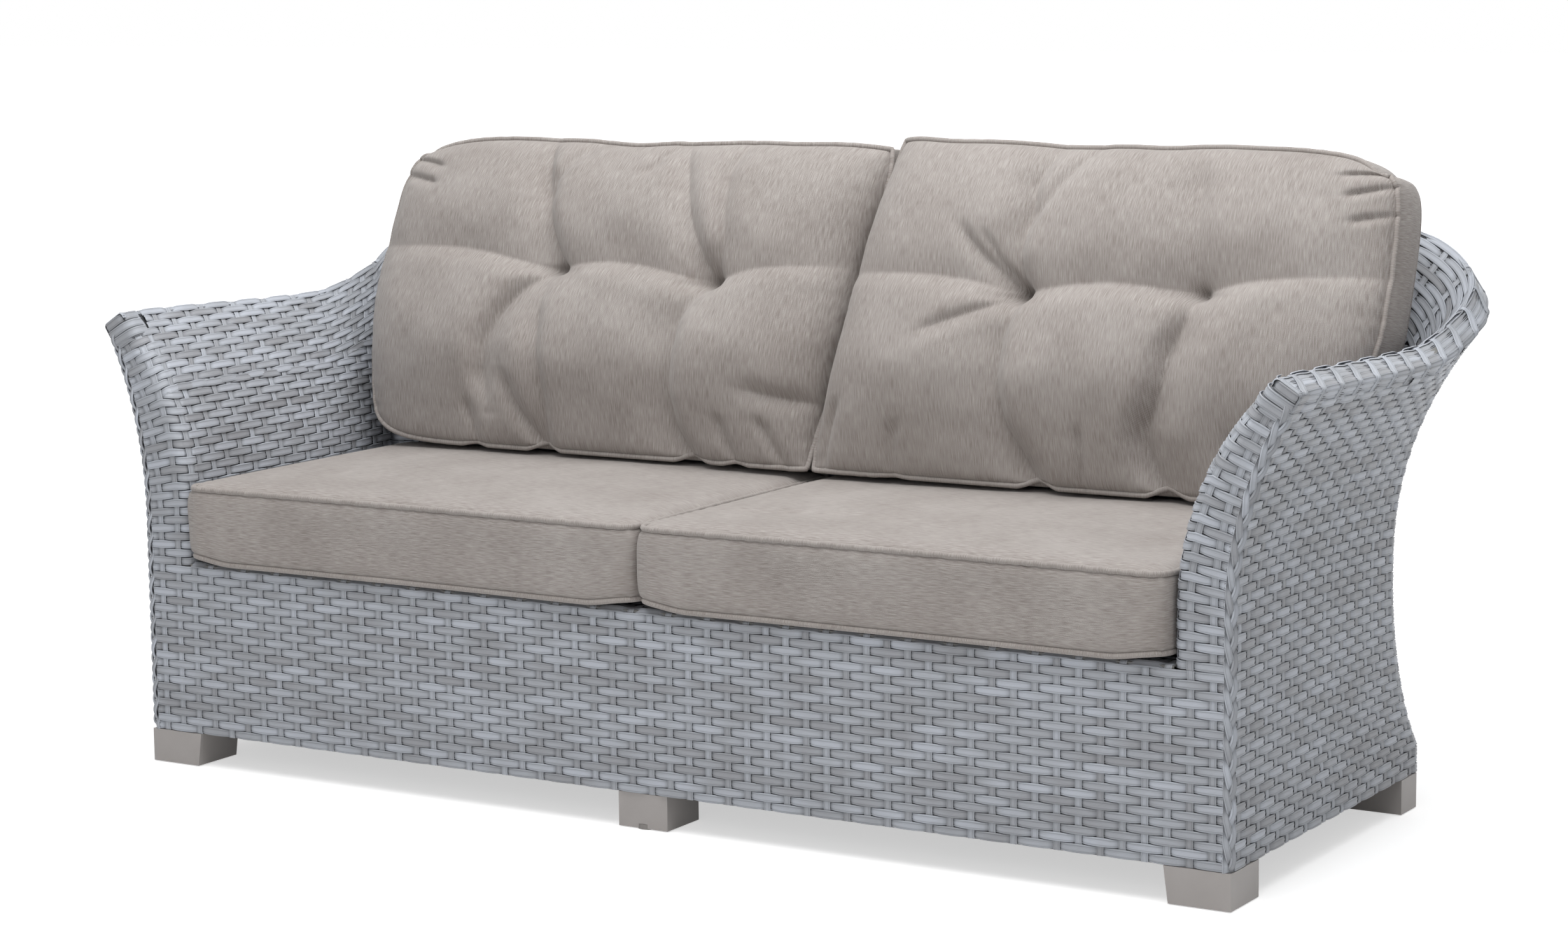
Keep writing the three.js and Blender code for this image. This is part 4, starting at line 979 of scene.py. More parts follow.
# The uprights behind the arms' rounded edges, rounded to suit
POST_WIDTH = 0.025
POST_DEPTH = 0.030
POST_FACE = 0.0038
POST_SET_IN = 0.0056
POST_ROUND = 0.0196
POST_ROUND_INSET = 0.0044
for word, sign in SIDES:
    name = f"inner_front_post_{word}"
    low, high = (float(corner.z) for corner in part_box(name))
    rings = []
    for level in np.linspace(low + 0.001, high - 0.006, 26):
        thick = float(wall(0.0, level))
        radius = edge_radius(level)
        far = thick - POST_SET_IN
        reach = min(POST_ROUND, radius - POST_ROUND_INSET)
        turn = np.linspace(0, math.pi / 2, 7)
        depth = [far - POST_DEPTH, *(thick - radius + reach * np.sin(turn)), far, far, far - POST_DEPTH]
        behind = POST_FACE + POST_WIDTH
        y = [POST_FACE, *(radius - reach * np.cos(turn)), radius, behind, behind]
        depth = np.minimum(np.array([*depth, depth[0]]), far)
        y = np.maximum(np.array([*y, y[0]]), POST_FACE)
        ring = inside(np.zeros(len(depth)), np.full(len(depth), level), depth)
        ring[:, 1] = FRONT + front_y(level) + y
        rings.append(mirrored(ring) if sign < 0 else ring)
    mesh = sheet_mesh(f"{name}_rounded", [(np.array(rings), None, 0)], weld=WELD)
    piece(f"{name}_rounded", mesh, (powder_coat,), "sofa", (name,))


def fabric_material():
    """Woven acrylic twill: light and dark taupe yarns with slubs along the cloth, in fine diagonal ribs."""
    made, tree = bare_material("woven_acrylic_twill")
    cloth = add(tree, "UVMap", uv_map="Cloth")
    u = add(tree, "SeparateXYZ", {0: cloth})
    v = u.node.outputs[1]
    # Yarns are 0.8 mm apart. They are drawn 1.25 mm apart here, with slubs 20 mm long, so that they show
    yarn_u = add(tree, "Math", {0: u, 1: 800.0}, operation="MULTIPLY")
    yarn_v = add(tree, "Math", {0: v, 1: 48.0}, operation="MULTIPLY")
    yarn_at = add(tree, "CombineXYZ", {0: yarn_u, 1: yarn_v})
    yarn = add(tree, "TexNoise", {"Vector": yarn_at, "Scale": 1.0, "Detail": 2.0}, noise_dimensions="2D")
    # Loose light fibres, 12 mm long
    fleck_u = add(tree, "Math", {0: u, 1: 900.0}, operation="MULTIPLY")
    fleck_v = add(tree, "Math", {0: v, 1: 85.0}, operation="MULTIPLY")
    fleck_at = add(tree, "CombineXYZ", {0: fleck_u, 1: fleck_v})
    fleck = add(tree, "TexNoise", {"Vector": fleck_at, "Scale": 1.0}, noise_dimensions="2D")
    fleck = add(tree, "MapRange", {"Value": fleck, "From Min": 0.58, "From Max": 0.78, "To Max": 0.3})
    cloud = add(tree, "TexNoise", {"Vector": cloth, "Scale": 9.0, "Detail": 2.0}, noise_dimensions="2D")
    # Diagonal ribs of the twill, 2.2 mm apart where the real ones are 1.2 mm
    slant = add(tree, "Math", {0: u, 1: v}, operation="SUBTRACT")
    slant = add(tree, "Math", {0: slant, 1: 2856.0}, operation="MULTIPLY")
    rib = add(tree, "Math", {0: slant}, operation="SINE")
    level = add(tree, "Math", {0: rib, 1: 0.07, 2: yarn}, operation="MULTIPLY_ADD")
    level = add(tree, "Math", {0: cloud, 1: 0.35, 2: level}, operation="MULTIPLY_ADD")
    tint = add(tree, "ValToRGB", {0: level})
    bar = tint.node.color_ramp
    bar.elements[0].position, bar.elements[0].color = 0.40, srgb("857d78")
    bar.elements[1].position, bar.elements[1].color = 0.95, srgb("aba5a1")
    colour = add(tree, "Mix", {0: fleck, 6: tint, 7: srgb("c2bbb6")}, 2, data_type="RGBA")
    weave = add(tree, "Math", {0: rib, 1: 0.4, 2: yarn}, operation="MULTIPLY_ADD")
    relief = add(tree, "Bump", {"Strength": 0.4, "Distance": 0.0005, "Height": weave})
    skin = {"Base Color": colour, "Roughness": 0.88, "Normal": relief}
    return skinned(made, skin | {"Sheen Weight": 0.15, "Sheen Roughness": 0.5})


fabric = fabric_material()
# Waxed polyester thread of the tufts: off-white, with a slight shine
thread = coated_material("waxed_polyester_thread", "d6d2cc", "e2dfda", "bdb8b1", 300.0, 2500.0, 0.4, 0.2)

# Cushions: a front or top panel, a boxing strip round it and a rear or lower panel, piped along the seams
DECK_REST = DECK_TOP + 0.0009
SEAT_THICKNESS = 0.126
SEAT_CROWN = 0.014
SEAT_OVERHANG = 0.014
SEAT_CORNER = 0.030
SEAT_PULL = 0.006
SEAT_SEAM_INSET = 0.0045
SEAT_EDGE_FALL = 0.006
SEAT_EDGE_RISE = 0.010
SEAT_EDGE_RUN = 0.014
SEAT_DOME = SEAT_CROWN - 0.0052
SEAT_CAP = SEAT_CROWN - 0.0003
SEAT_FOOT_RISE = 0.013
SEAT_FOOT_RUN = 0.017
SEAT_UNEVEN = 0.0012
BORDER_UNEVEN = 0.0013
SEAT_PUCKER = 0.0005
SEAT_PUCKER_RUN = 0.012
SEAT_PUCKER_PITCH = 0.0042
SEAT_PUCKER_SHIFT = 0.031
CUSHION_GAP = 0.001
NOSE_REACH = 0.007
NOSE_RISE = 0.004
NOSE_FADE = 0.20
ARM_INSIDE = HALF_WIDTH - ARM_WALL
PIPING_RADIUS = 0.0044
PIPING_OUT = 0.0022
PIPING_SIDES = 8
STRIP_COLUMNS = 15
STRIP_UV = 3.0
REAR_UV = 7.0

BACK_FRONT = 0.136
BACK_REAR = 0.090
BACK_FOOT = 0.497
BACK_LEAN = 0.4
BACK_PULL = 0.013
BACK_REST = DECK_REST + SEAT_THICKNESS + SEAT_CROWN + 0.0004
FOOT_SHARE = 0.74
CORNER_SHARE = 0.09
FOOT_CORNER_SHARE = 0.55
CORNER_POWER = 6
BACK_CUSHIONS = {
    "right": {"height": 0.550, "gaps": (0.0084, 0.0506, 0.0566), "inner": (0.012, 0.037, 0.062)},
    "left": {"height": 0.541, "gaps": (0.0054, 0.1026, 0.1106), "inner": (-0.007, -0.032, -0.057)},
}


def perimeter(columns, rows):
    """Places s, t round the edge of a panel, back to the first."""
    s = np.linspace(-1, 1, columns)
    t = np.linspace(-1, 1, rows)
    across = np.concatenate([s, np.ones(rows - 2), s[::-1], -np.ones(rows - 2), s[:1]])
    up = np.concatenate([-np.ones(columns), t[1:-1], np.ones(columns), t[::-1][1:-1], t[:1]])
    return across, up


def sewn_body(body, columns, rows, surface, turned=False):
    """Makes a cushion. surface(s, t, w) is a point: w is -1 on the front panel, 1 on the rear one.

    The cloth's yarns run up the panels, or across them and along the strip where it is turned.
    """
    s, t = np.meshgrid(np.linspace(-1, 1, columns), np.linspace(-1, 1, rows))
    edge_s, edge_t = perimeter(columns, rows)
    w = np.linspace(-1, 1, STRIP_COLUMNS)[:, None]
    front = surface(s, t, np.full_like(s, -1))
    border = surface(*np.broadcast_arrays(edge_s[None, :], edge_t[None, :], w))
    rear = surface(s, t, np.full_like(s, 1))
    run = distances(border[STRIP_COLUMNS // 2])
    rise = np.linalg.norm(border[-1] - border[0], axis=-1).mean()
    flat = front - front[0, 0]
    face_uv = np.stack([flat @ unit(flat[0, -1]), flat @ unit(flat[-1, 0])], axis=-1)
    strip_uv = np.stack(np.broadcast_arrays(run[None, :] + STRIP_UV, (w + 1) / 2 * rise), axis=-1)
    if turned:
        face_uv, strip_uv = face_uv[..., ::-1], strip_uv[..., ::-1]
    sheets = ((front, face_uv, 0), (border, strip_uv, 0), (rear, face_uv + REAR_UV, 0))
    mesh = sheet_mesh(f"{body}_cover", sheets, "Cloth", CLOTH_WELD)
    made = piece(f"{body}_cover", mesh, (fabric,), body, (body,))
    for seam, path in (("front", border[0]), ("rear", border[-1])):
        pipe(f"{body}_cover_{seam}_piping", path, body)


def pipe(name, closed_path, body):
    """A covered cord along a seam."""
    path = closed_path[:-1]
    along = unit(np.roll(path, -1, axis=0) - np.roll(path, 1, axis=0))
    middle = path.mean(axis=0)
    away = unit((path - middle) - along * ((path - middle) * along).sum(axis=1, keepdims=True))
    side = unit(np.cross(along, away))
    angle = np.linspace(0, 2 * math.pi, PIPING_SIDES + 1)
    around = away[:, None] * np.cos(angle)[None, :, None] + side[:, None] * np.sin(angle)[None, :, None]
    ring = (path + away * PIPING_OUT)[:, None] + PIPING_RADIUS * around
    ring = np.concatenate([ring, ring[:1]])
    uv = paired(distances(closed_path), angle * PIPING_RADIUS)
    piece(name, sheet_mesh(name, ((ring, uv, 0),), "Cloth", WELD), (fabric,), body)


def rounded(s, t, half_x, half_y, radius):
    """Where a panel's place s, t lies on a rounded rectangle, whose rings close in on the middle."""
    size = np.maximum(np.maximum(np.abs(s), np.abs(t)), 1e-9)
    side_on = np.abs(s) >= np.abs(t)
    q = np.where(side_on, t, s) / size
    near = np.where(side_on, half_x, half_y) * size
    far = np.where(side_on, half_y, half_x) * size
    r = radius * size
    straight = (far - r) / (far - r + r * math.pi / 4)
    angle = np.clip((np.abs(q) - straight) / (1 - straight), 0, 1) * math.pi / 4
    flat = np.clip(np.abs(q) / straight, 0, 1) * (far - r)
    along = np.sign(q) * (flat + r * np.sin(angle))
    out = near - r + r * np.cos(angle)
    return np.where(side_on, np.sign(s) * out, along), np.where(side_on, along, np.sign(t) * out)


def unevenness(across, up, seed, spans):
    """Gentle waves without a pattern, about 1 high, from sines of different lengths and ways."""
    random = np.random.default_rng(seed)
    total = 0
    for span in spans:
        for _ in range(4):
            way = random.uniform(0, 2 * math.pi)
            place = (across * math.cos(way) + up * math.sin(way)) * 2 * math.pi / span
            total = total + np.sin(place + random.uniform(0, 2 * math.pi)) * span / spans[0]
    return total / 3


FOLD_RAMP = 0.3
FOLD_FADE = 0.010
BROAD_SHARE = 0.55
SHARP_WIDTH = 0.4


def fold_depth(across, up, depth, first, second, start, end, points):
    """How far a crease along points sinks each place.

    Its width is first above it or towards the arm, and second on the other side. start and end are the shares
    of its depth at its ends. It has one depth for each place along its longer way, so no two arms of it meet.
    """
    spots = np.array(points)
    reach = np.abs(spots[-1] - spots[0])
    way = 0 if reach[0] > reach[1] else 1
    along, beside = (across, up) if way == 0 else (up, across)
    if spots[0, way] > spots[-1, way]:
        spots = spots[::-1]
        start, end = end, start
    low, high = spots[0, way], spots[-1, way]
    even = np.linspace(low, high, 81)
    line = np.interp(even, spots[:, way], spots[:, 1 - way])
    line = np.convolve(np.pad(line, 4, mode="edge"), np.ones(9) / 9, mode="valid")
    slope = np.interp(along, even, np.gradient(line, even))
    away = (beside - np.interp(along, even, line)) / np.sqrt(1 + slope * slope)
    width = np.where(away > 0, first, second)
    share = clamp01((along - low) / (high - low))
    strength = np.minimum(mix(start, 1, ease(share / FOLD_RAMP)), mix(end, 1, ease((1 - share) / FOLD_RAMP)))
    beyond = np.maximum(low - along, 0) + np.maximum(along - high, 0)
    sharp = np.exp(-np.abs(away) / (SHARP_WIDTH * width))
    section = BROAD_SHARE * bump(away, width) + (1 - BROAD_SHARE) * sharp
    return depth * strength * bump(beyond, FOLD_FADE) * section


back_waist = inside(np.array(3.0), np.array(WAIST_HEIGHT), wall(3.0, WAIST_HEIGHT))
SEAT_REAR = float(back_waist[1]) - FRONT - CUSHION_GAP
# Creases of the seat cushions' tops and borders, in metres from each one's middle
SEAT_FOLDS = {
    "right": (
        (0.004, 0.020, 0.030, 0.2, 0.2, ((-0.40, -0.16), (-0.24, -0.12), (-0.10, -0.13))),
        (0.003, 0.030, 0.020, 0.2, 0.2, ((0.16, -0.22), (0.30, -0.14), (0.38, -0.02))),
    ),
    "left": (
        (0.006, 0.016, 0.024, 1.0, 0.1, ((0.416, -0.345), (0.36, -0.27), (0.30, -0.22))),
        (0.003, 0.030, 0.024, 0.2, 0.2, ((-0.30, -0.12), (-0.12, -0.16), (0.06, -0.13))),
    ),
}
# Places along the border, from its middle, where its stuffing leaves soft upright waves, and their depths
SEAT_WAVES = {
    "right": ((-0.22, 0.060, 0.0030), (0.18, 0.050, 0.0025)),
    "left": ((-0.05, 0.050, 0.0045), (0.12, 0.045, 0.0030)),
}
for word, sign in SIDES:
    inner = CUSHION_GAP / 2
    half_x = (ARM_INSIDE - CUSHION_GAP - inner) / 2
    half_y = (SEAT_REAR + SEAT_OVERHANG) / 2
    middle = (sign * (ARM_INSIDE - CUSHION_GAP + inner) / 2, FRONT + (SEAT_REAR - SEAT_OVERHANG) / 2)

    def seat_surface(s, t, w):
        x, y = rounded(s, t, half_x - SEAT_SEAM_INSET, half_y - SEAT_SEAM_INSET, SEAT_CORNER)
        size = np.maximum(np.abs(s), np.abs(t))
        side_on = np.abs(s) >= np.abs(t)
        along = np.where(side_on, t * half_y, s * half_x)
        wave = unevenness(along, w * 0.06 + np.sign(s + 2 * t), 21 + sign, (0.24, 0.11)) * BORDER_UNEVEN
        for place, wide, deep in SEAT_WAVES[word]:
            wave = wave - np.where((t < 0) & ~side_on, deep * bump(s * half_x - place, wide), 0)
        loose = (1 - w * w) * size**8
        swell = np.sqrt(np.maximum(1 - np.abs(w) ** 4, 0)) * SEAT_SEAM_INSET * 2.0
        swell = swell + np.minimum(wave, 0) * loose
        waist = SEAT_PULL * (1 - np.minimum(np.abs(s), np.abs(t)) ** 2) * size**8
        x = x - np.where(side_on, np.sign(s) * (waist - swell), 0)
        y = y - np.where(~side_on | (np.abs(t) == 1), np.sign(t) * (waist - swell), 0)
        x = np.clip(x, -half_x, half_x)
        distance = np.minimum((1 - np.abs(s)) * half_x, (1 - np.abs(t)) * half_y)
        dome = (1 - s**2) * (1 - t**2)
        edge = DECK_REST + SEAT_THICKNESS
        top = edge - SEAT_EDGE_FALL + SEAT_EDGE_RISE * (1 - np.exp(-distance / SEAT_EDGE_RUN))
        top = top + SEAT_DOME * dome**0.5
        top = top + unevenness(x, y, 31 + sign, (0.30, 0.14)) * SEAT_UNEVEN * (1 - size**6)
        gathers = np.sin(along / SEAT_PUCKER_PITCH + 3 * np.sin(along / SEAT_PUCKER_SHIFT))
        pucker = np.exp(-distance / SEAT_PUCKER_RUN) * gathers * SEAT_PUCKER
        top = np.minimum(top, edge + SEAT_CAP)
        for fold in SEAT_FOLDS[word]:
            top = top - fold_depth(x, y, *fold) * (1 - size**20)
        low = DECK_REST + SEAT_FOOT_RISE * np.exp(-distance / SEAT_FOOT_RUN)
        nose = ease((-t - np.abs(s)) / NOSE_FADE) * bump(distance, NOSE_REACH)
        low = mix(low, DECK_REST + NOSE_RISE, nose)
        return np.stack([middle[0] + x, middle[1] + y, mix(low, top + pucker, (1 - w) / 2)], axis=-1)

    sewn_body(f"seat_cushion_{word}", 160, 126, seat_surface, turned=True)


def width_at(sizes, h):
    foot, waist, top = sizes
    return mix(mix(foot, waist, ease(h / 0.5)), top, ease((h - 0.5) / 0.5))


# The woven back's inner face, as a column of points for each of some places from the middle to its side
BACK_PLACES = 60
back_level = np.linspace(DECK_TOP, ARM_TOP, 60)
back_columns = []
for share in np.linspace(0, 1, BACK_PLACES):
    back_u = np.full_like(back_level, 3 - share)
    back_columns.append(inside(back_u, back_level, wall(back_u, back_level)))


def inner_back_y(x, z):
    """How far back the woven back's inner face is at a width and height."""
    place = clamp01(np.abs(x) / RIM_BACK_RUN) * (BACK_PLACES - 1)
    left = np.minimum(place.astype(int), BACK_PLACES - 2)
    found = np.zeros((2, *x.shape))
    for y, column in zip(found, (left, left + 1)):
        for c in np.unique(column):
            chosen = column == c
            y[chosen] = np.interp(z[chosen], back_columns[c][:, 2], back_columns[c][:, 1])
    return mix(*found, place - left)


FRONT_SEAM = 0.062
REAR_SEAM = 0.045
SEAM_SHARE = 0.965
ARM_SEAM_SHARE = 0.985
INNER_SEAM = 0.030
TUFT_DEPTH = 0.020
TUFT_RADIUS = 0.045
TUFT_PIT = 0.010
TUFT_PIT_RADIUS = 0.012
TUFTS = {"right": ((-0.27, 0.06), (0.38, 0.11)), "left": ((0.15, 0.12), (-0.51, 0.06))}
# Creases of the back cushions' front panels: depth and widths on both sides in millimetres, and in hundredths
# the shares left at the ends and the places that each passes, across (-100 at the sofa's middle, 100 at the
# arm) and up (-100 at the foot, 100 at the top)
FOLD_UNITS = (1000, 1000, 1000, 100, 100)
FOLDS = {
    "right": (
        (24, 56, 22, 45, 40, (
            (-100, 15), (-73, 16), (-52, 15), (-39, 11), (-27, 6), (-16, 12), (1, 15.5), (17, 15), (28, 12.5),
            (38, 11), (52, 19), (69, 22), (100, 25),
        )),
        (28, 18, 40, 70, 100, ((-29, 100), (-33, 75), (-31, 54), (-31, 30), (-27, 6))),
        (14, 14, 18, 90, 10, ((-14, 100), (-23, 75), (-28, 55), (-30, 41))),
        (22, 36, 36, 40, 100, ((27, 100), (32, 60), (35, 35), (38, 11))),
        (18, 12, 16, 10, 100, ((-58, 50), (-43, 27), (-28, 7))),
        (10, 8, 10, 10, 90, ((-47, 48), (-38, 27), (-27, 8))),
        (13, 12, 20, 10, 90, ((-62, -20), (-50, -11), (-40, -4), (-28, 4))),
        (34, 20, 52, 45, 100, ((-27, 3), (-29, -21), (-26, -44), (-19, -67), (-10, -83), (-2, -100))),
        (34, 48, 22, 40, 100, ((38, 8), (34, -21), (37, -50), (36, -68), (41, -82), (49, -100))),
        (12, 10, 12, 10, 100, ((12, -62), (15, -80), (17, -100))),
        (12, 14, 18, 10, 100, ((-60, -66), (-62, -82), (-62, -100))),
        (14, 12, 16, 10, 100, ((-88, -55), (-92, -78), (-95, -100))),
        (12, 16, 20, 10, 100, ((70, -60), (75, -80), (80, -100))),
        (12, 6, 9, 10, 100, ((78, 84), (91, 88), (100, 92))),
        (12, 6, 9, 10, 100, ((82, 71), (93, 76), (100, 80))),
        (11, 6, 9, 10, 100, ((85, 56), (94, 59), (100, 61))),
    ),
    "left": (
        (24, 56, 22, 40, 45, (
            (100, 22), (60, 23.5), (42, 20), (28, 14), (15, 11), (4, 16.5), (-6, 17.5), (-17, 17.5),
            (-29, 14), (-51, 6), (-59, 13), (-72, 18), (-100, 21),
        )),
        (30, 40, 18, 60, 100, ((36, 100), (28, 61), (22, 39), (15, 12))),
        (14, 14, 18, 100, 10, ((14, 100), (22, 86), (26, 70), (25, 50))),
        (26, 26, 22, 60, 100, ((-22, 100), (-29, 73), (-36, 49), (-46, 20), (-51, 6))),
        (12, 10, 14, 100, 10, ((-19, 100), (-15, 90), (-11, 74))),
        (17, 14, 24, 100, 80, ((-47, 100), (-45, 79), (-49, 55), (-53, 34), (-51, 8))),
        (28, 18, 46, 80, 15, ((16, 9), (27, -5), (33, -18), (39, -37), (41, -58), (38, -80))),
        (20, 16, 18, 10, 100, ((31, -50), (26, -73), (21, -85), (14, -100))),
        (18, 24, 16, 20, 100, ((15, -2), (14, -37), (12, -70), (13, -100))),
        (34, 48, 20, 50, 100, ((-50, 4), (-43, -16), (-42, -40), (-42, -62), (-45, -82), (-53, -100))),
        (12, 10, 14, 10, 100, ((49, -70), (47, -86), (46, -100))),
        (12, 10, 14, 10, 100, ((-64, -70), (-68, -86), (-72, -100))),
        (12, 10, 14, 10, 100, ((-80, -70), (-86, -86), (-92, -100))),
        (12, 7, 10, 10, 100, ((78, 66), (92, 70), (100, 72))),
        (12, 7, 10, 10, 100, ((78, 78), (91, 83), (100, 86))),
        (18, 16, 20, 10, 100, ((-72, -56), (-88, -60), (-100, -62))),
    ),
}
# Where the foot's seam is pulled up between the lobes of stuffing: place across, width and height
SCALLOPS = {
    "right": ((-0.02, 0.07, 0.013), (0.49, 0.07, 0.014), (-0.62, 0.12, 0.005)),
    "left": ((0.14, 0.07, 0.013), (-0.53, 0.07, 0.012), (-0.72, 0.06, 0.007), (0.47, 0.07, 0.008)),
}
INNER_CORNER_SHARE = 0.022
PIPING_LIFT = 0.0056
FOOT_BULGE = 0.025
FOOT_CORNER_LIFT = 0.030
EARS = {"right": 0.008, "left": 0.002}
PANEL_HALF = 0.42
SEAM_REACH = 0.016
PUCKER = 0.0011
BACK_UNEVEN = 0.0022
TOP_UNEVEN = 0.0035
SEAM_HOLD = 0.45
arm_top_inside = float(arm_outer_x(np.float64(ARM_TOP))) - RIM_WALL
arm_rest_inside = float(arm_outer_x(np.float64(BACK_REST)) - wall(0.0, np.float64(BACK_REST)))


def back_point(word, sign, s, t, w):
    """A place on a back cushion: across, up and from its front panel to its rear one."""
    sizes = BACK_CUSHIONS[word]
    seam = np.abs(w) ** 3
    top = np.maximum(t, 0)
    to_arm = clamp01(s + 0.5)
    scale = mix(1.0, mix(0.998, mix(ARM_SEAM_SHARE, SEAM_SHARE, clamp01(w)), to_arm), seam)
    corner = mix(INNER_CORNER_SHARE, CORNER_SHARE, to_arm)
    corner = corner * np.where(t < 0, FOOT_CORNER_SHARE, 1) * np.abs(s * t) ** CORNER_POWER
    h = (t * np.where(t > 0, mix(1.0, 0.98, seam), 1) + 1) / 2
    inner_edge = width_at(sizes["inner"], h)
    outer_edge = width_at((arm_rest_inside, arm_top_inside, arm_top_inside), h) - width_at(sizes["gaps"], h)
    x = mix(inner_edge, outer_edge, (s * scale * (1 - corner) + 1) / 2)
    half = (outer_edge - inner_edge) / 2
    half_high = sizes["height"] / 2
    edge_s = np.exp(-(1 - np.abs(s)) * half / SEAM_REACH)
    edge_t = np.exp(-(1 - np.abs(t)) * half_high / SEAM_REACH)
    top_wave = unevenness(s * PANEL_HALF, t * 0 + 1, 41 + sign, (0.30, 0.12)) * TOP_UNEVEN
    pull = BACK_PULL * (1 - s * s) * top - top_wave * top**4
    pull = pull - EARS[word] * clamp01(-s) ** 6 * top**6 * clamp01(1 - w)
    run = h * (1 - corner * top) * sizes["height"] - pull
    run = run + FOOT_CORNER_LIFT * clamp01(s) ** 8 * np.maximum(-t, 0) ** 6
    foot = mix(FOOT_SHARE, 1, ease(t + 1))
    across_dome = np.maximum(1 - np.abs(s) ** np.where(s < 0, 5, 3.4), 0) ** 0.52
    up_dome = np.maximum(1 - np.abs(t) ** np.where(t < 0, 2.4, 3), 0) ** np.where(t < 0, 0.58, 0.55)
    dome = across_dome * up_dome
    seam_at = mix(FRONT_SEAM, INNER_SEAM, clamp01(-s) ** 8)
    front = -(seam_at + (BACK_FRONT - seam_at) * dome) * foot - FOOT_BULGE * dome * bump(t + 0.45, 0.4)
    depth = mix(front, REAR_SEAM + (BACK_REAR - REAR_SEAM) * dome, (w + 1) / 2)
    facing = clamp01(-w * 2 - 1)
    across, up = s * half, t * half_high
    sunk = 0
    for tuft_s, tuft_t in TUFTS[word]:
        away = np.hypot(across - tuft_s * half, up - tuft_t * half_high)
        sunk = sunk + TUFT_DEPTH * np.exp(-away / TUFT_RADIUS) + TUFT_PIT * bump(away, TUFT_PIT_RADIUS)
    for *measures, points in FOLDS[word]:
        spots = np.array(points) / 100 * (PANEL_HALF, half_high)
        sunk = sunk + fold_depth(s * PANEL_HALF, up, *np.array(measures) / FOLD_UNITS, spots)
    puckers = edge_t * np.sin(s * 62 + 4 * np.sin(s * 9)) + edge_s * np.sin(t * 44 + 3 * np.sin(t * 7))
    sunk = sunk + PUCKER * puckers + unevenness(across, up, 51 + sign, (0.16, 0.09)) * BACK_UNEVEN * dome
    depth = depth + sunk * facing * mix(1, SEAM_HOLD, np.maximum(edge_s, edge_t))
    y = BACK_FOOT + run * math.sin(BACK_LEAN) + depth * math.cos(BACK_LEAN / 2)
    z = BACK_REST + run * math.cos(BACK_LEAN) - depth * math.sin(BACK_LEAN / 2)
    scallop = sum(high * bump(s - place, wide) for place, wide, high in SCALLOPS[word])
    floor_here = BACK_REST + scallop * facing * clamp01(1 - (t + 1) * 5) + PIPING_LIFT * np.abs(w) ** 8
    z = np.maximum(floor_here, z)
    limit = inner_back_y(x, z) - FRONT - CUSHION_GAP
    return np.stack([sign * x, FRONT + np.minimum(y, limit), z], axis=-1)


THREAD_SHAPE = Matrix.Diagonal((0.0034, 0.0009, 0.0009, 1.0))
for word, sign in SIDES:
    body = f"back_cushion_{word}"
    sewn_body(body, 230, 160, lambda s, t, w: back_point(word, sign, s, t, w))
    # The tacks that hold the tufts down: short light threads
    threads = bmesh.new()
    for tuft in TUFTS[word]:
        spot = back_point(word, sign, *np.array([*tuft, -1.0])[:, None])[0]
        for turn, tip in ((0.5, 0.0), (-0.6, 0.0012)):
            place = Vector(spot) + Vector((0, -0.0006, tip))
            matrix = Matrix.Translation(place) @ Matrix.Rotation(turn, 4, "Y") @ THREAD_SHAPE
            bmesh.ops.create_uvsphere(threads, u_segments=10, v_segments=6, radius=1, matrix=matrix)
    mesh = bpy.data.meshes.new(f"tuft_threads_{word}")
    threads.to_mesh(mesh)
    threads.free()
    piece(f"tuft_threads_{word}", mesh, (thread,), body)

# Each woven piece stands for the node of its name, or for one that both sides share or is named otherwise
NODE_NAMES = (("_stakes", ""), ("rim_weave", "rim_wrap"), ("corner_plait", "corner_braid"))
for name, strands in pieces.items():
    node = name
    for word, node_word in NODE_NAMES:
        node = node.replace(word, node_word)
    if node.startswith("back_"):
        node = node.rsplit("_", 1)[0]
    strands.finish(name.replace("_weave", "_strands"), node)


# The photo's camera, as solved from it, with its lens in the photo's pixels
PHOTO_WIDTH = 2464
LENS_PIXELS = 5491
CAMERA_PLACE = (2.78238803, -4.16178317 + FRONT, 1.2549707)
yaw, pitch, roll = 0.546637122, 0.145211394, -0.0101229097
camera = bpy.data.cameras.new("camera")
camera.sensor_width = 36
camera.lens = camera.sensor_width * LENS_PIXELS / PHOTO_WIDTH
ahead = Vector((-math.sin(yaw) * math.cos(pitch), math.cos(yaw) * math.cos(pitch), -math.sin(pitch)))
right = Vector((math.cos(yaw), math.sin(yaw), 0))
above = right.cross(ahead)
turned_right = right * math.cos(roll) + above * math.sin(roll)
turned_up = above * math.cos(roll) - right * math.sin(roll)
axes = Matrix((turned_right, turned_up, -ahead)).transposed().to_4x4()
camera_at = placed_object("camera", camera)
camera_at.matrix_world = Matrix.Translation(CAMERA_PLACE) @ axes
bpy.context.scene.camera = camera_at


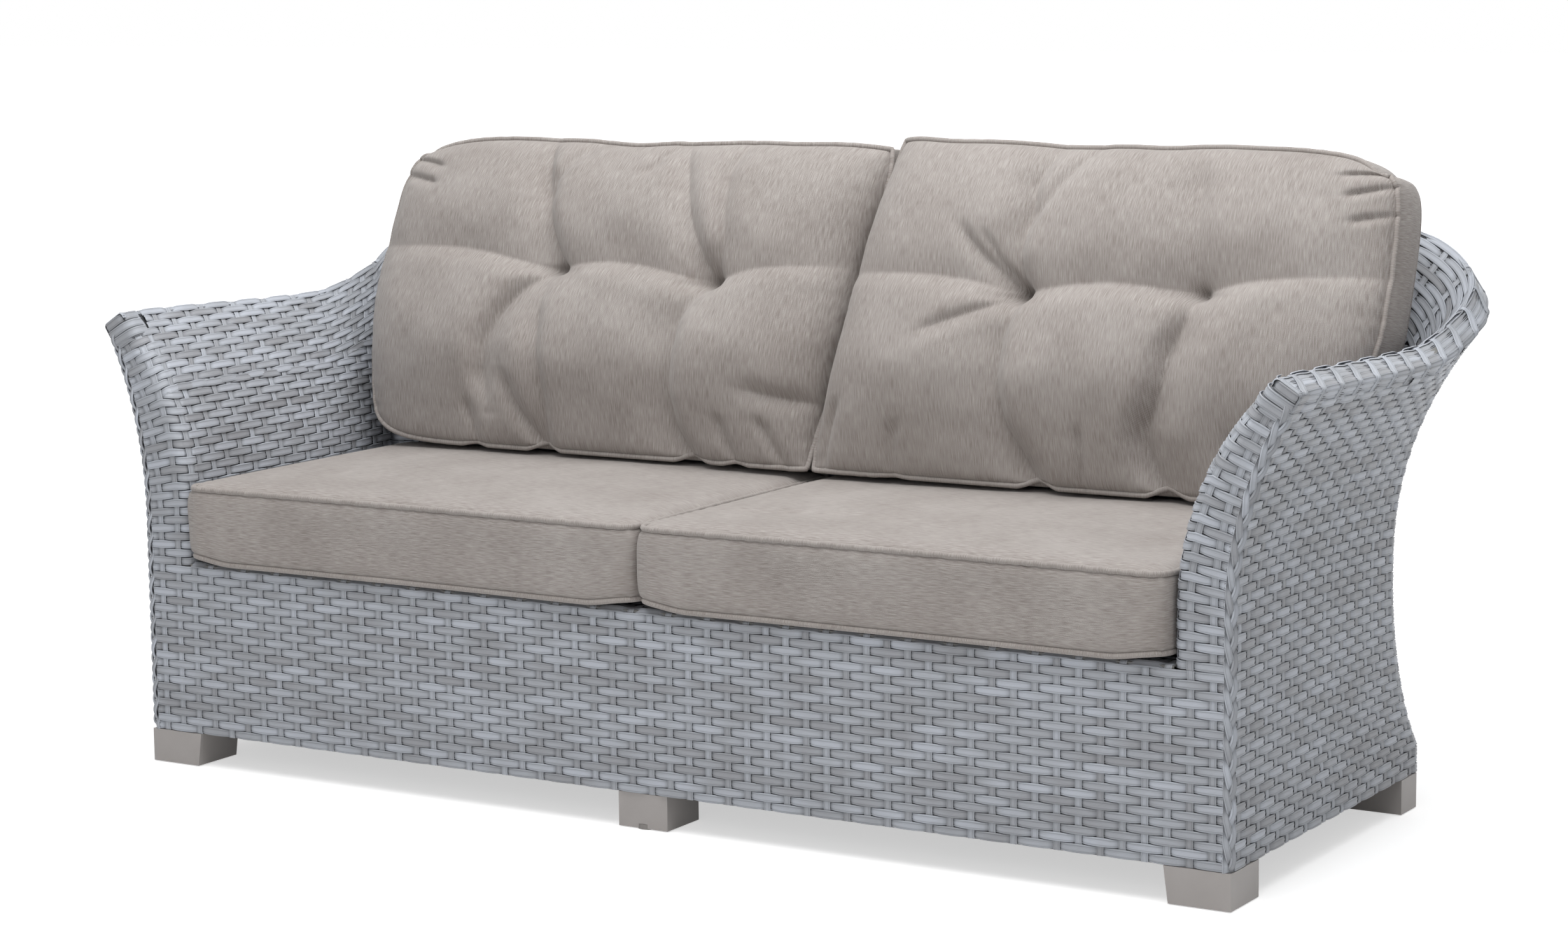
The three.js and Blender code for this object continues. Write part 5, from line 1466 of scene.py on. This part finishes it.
def lamp(name, place, towards, size, power):
    """A large soft lamp, aimed at a point."""
    data = bpy.data.lights.new(name, "AREA")
    data.shape = "RECTANGLE"
    data.size, data.size_y = size
    data.energy = power
    aim = (Vector(towards) - Vector(place)).to_track_quat("-Z", "Y").to_matrix().to_4x4()
    placed_object(name, data).matrix_world = Matrix.Translation(place) @ aim


lamp("overhead", (0.3, -0.6, 3.2), (0.1, 0.05, 0.3), (3.6, 3.0), 112)
lamp("front", (1.0, -4.2, 1.9), (0, 0, 0.5), (3.0, 1.8), 20)
lamp("rear", (0.4, 4.4, 1.9), (0, 0, 0.5), (3.0, 1.8), 22)

# Lamps light the sofa. The camera and glossy rays see a white room
AMBIENT = 0.35
WHITE = (1.0, 1.0, 1.0, 1.0)
studio = bpy.data.worlds.new("studio")
studio.use_nodes = True
bpy.context.scene.world = studio


def seen_directly(tree):
    """1 for rays from the camera, or reflected or let through on their way from it."""
    camera_ray = add(tree, "LightPath", output="Is Camera Ray")
    rays = camera_ray.node.outputs
    larger = add(tree, "Math", {0: camera_ray, 1: rays["Is Glossy Ray"]}, operation="MAXIMUM")
    return add(tree, "Math", {0: larger, 1: rays["Is Transmission Ray"]}, operation="MAXIMUM")


room = studio.node_tree
room.nodes.clear()
strength = add(room, "MapRange", {"Value": seen_directly(room), "To Min": AMBIENT, "To Max": 1.0})
sky = add(room, "Background", {"Color": WHITE, "Strength": strength})
add(room, "OutputWorld", {"Surface": sky})

made = bmesh.new()
bmesh.ops.create_grid(made, x_segments=1, y_segments=1, size=40)
floor_mesh = bpy.data.meshes.new("floor")
made.to_mesh(floor_mesh)
made.free()
floor = placed_object("floor", floor_mesh)
pale, ground = bare_material("studio_floor")
place = add(ground, "TexCoord", output="Object")
distance = add(ground, "VectorMath", {0: place}, "Value", operation="LENGTH")
fade = {"Value": distance, "From Min": 1.4, "From Max": 3.4, "To Min": 0.55, "To Max": 1.0}
glow = add(ground, "Math", {0: add(ground, "MapRange", fade), 1: seen_directly(ground)}, operation="MULTIPLY")
paint = {"Base Color": srgb("e8e8e8"), "Roughness": 0.9, "Specular IOR Level": 0.0}
floor_mesh.materials.append(skinned(pale, paint | {"Emission Color": WHITE, "Emission Strength": glow}))
bpy.context.scene.view_settings.view_transform = "Standard"
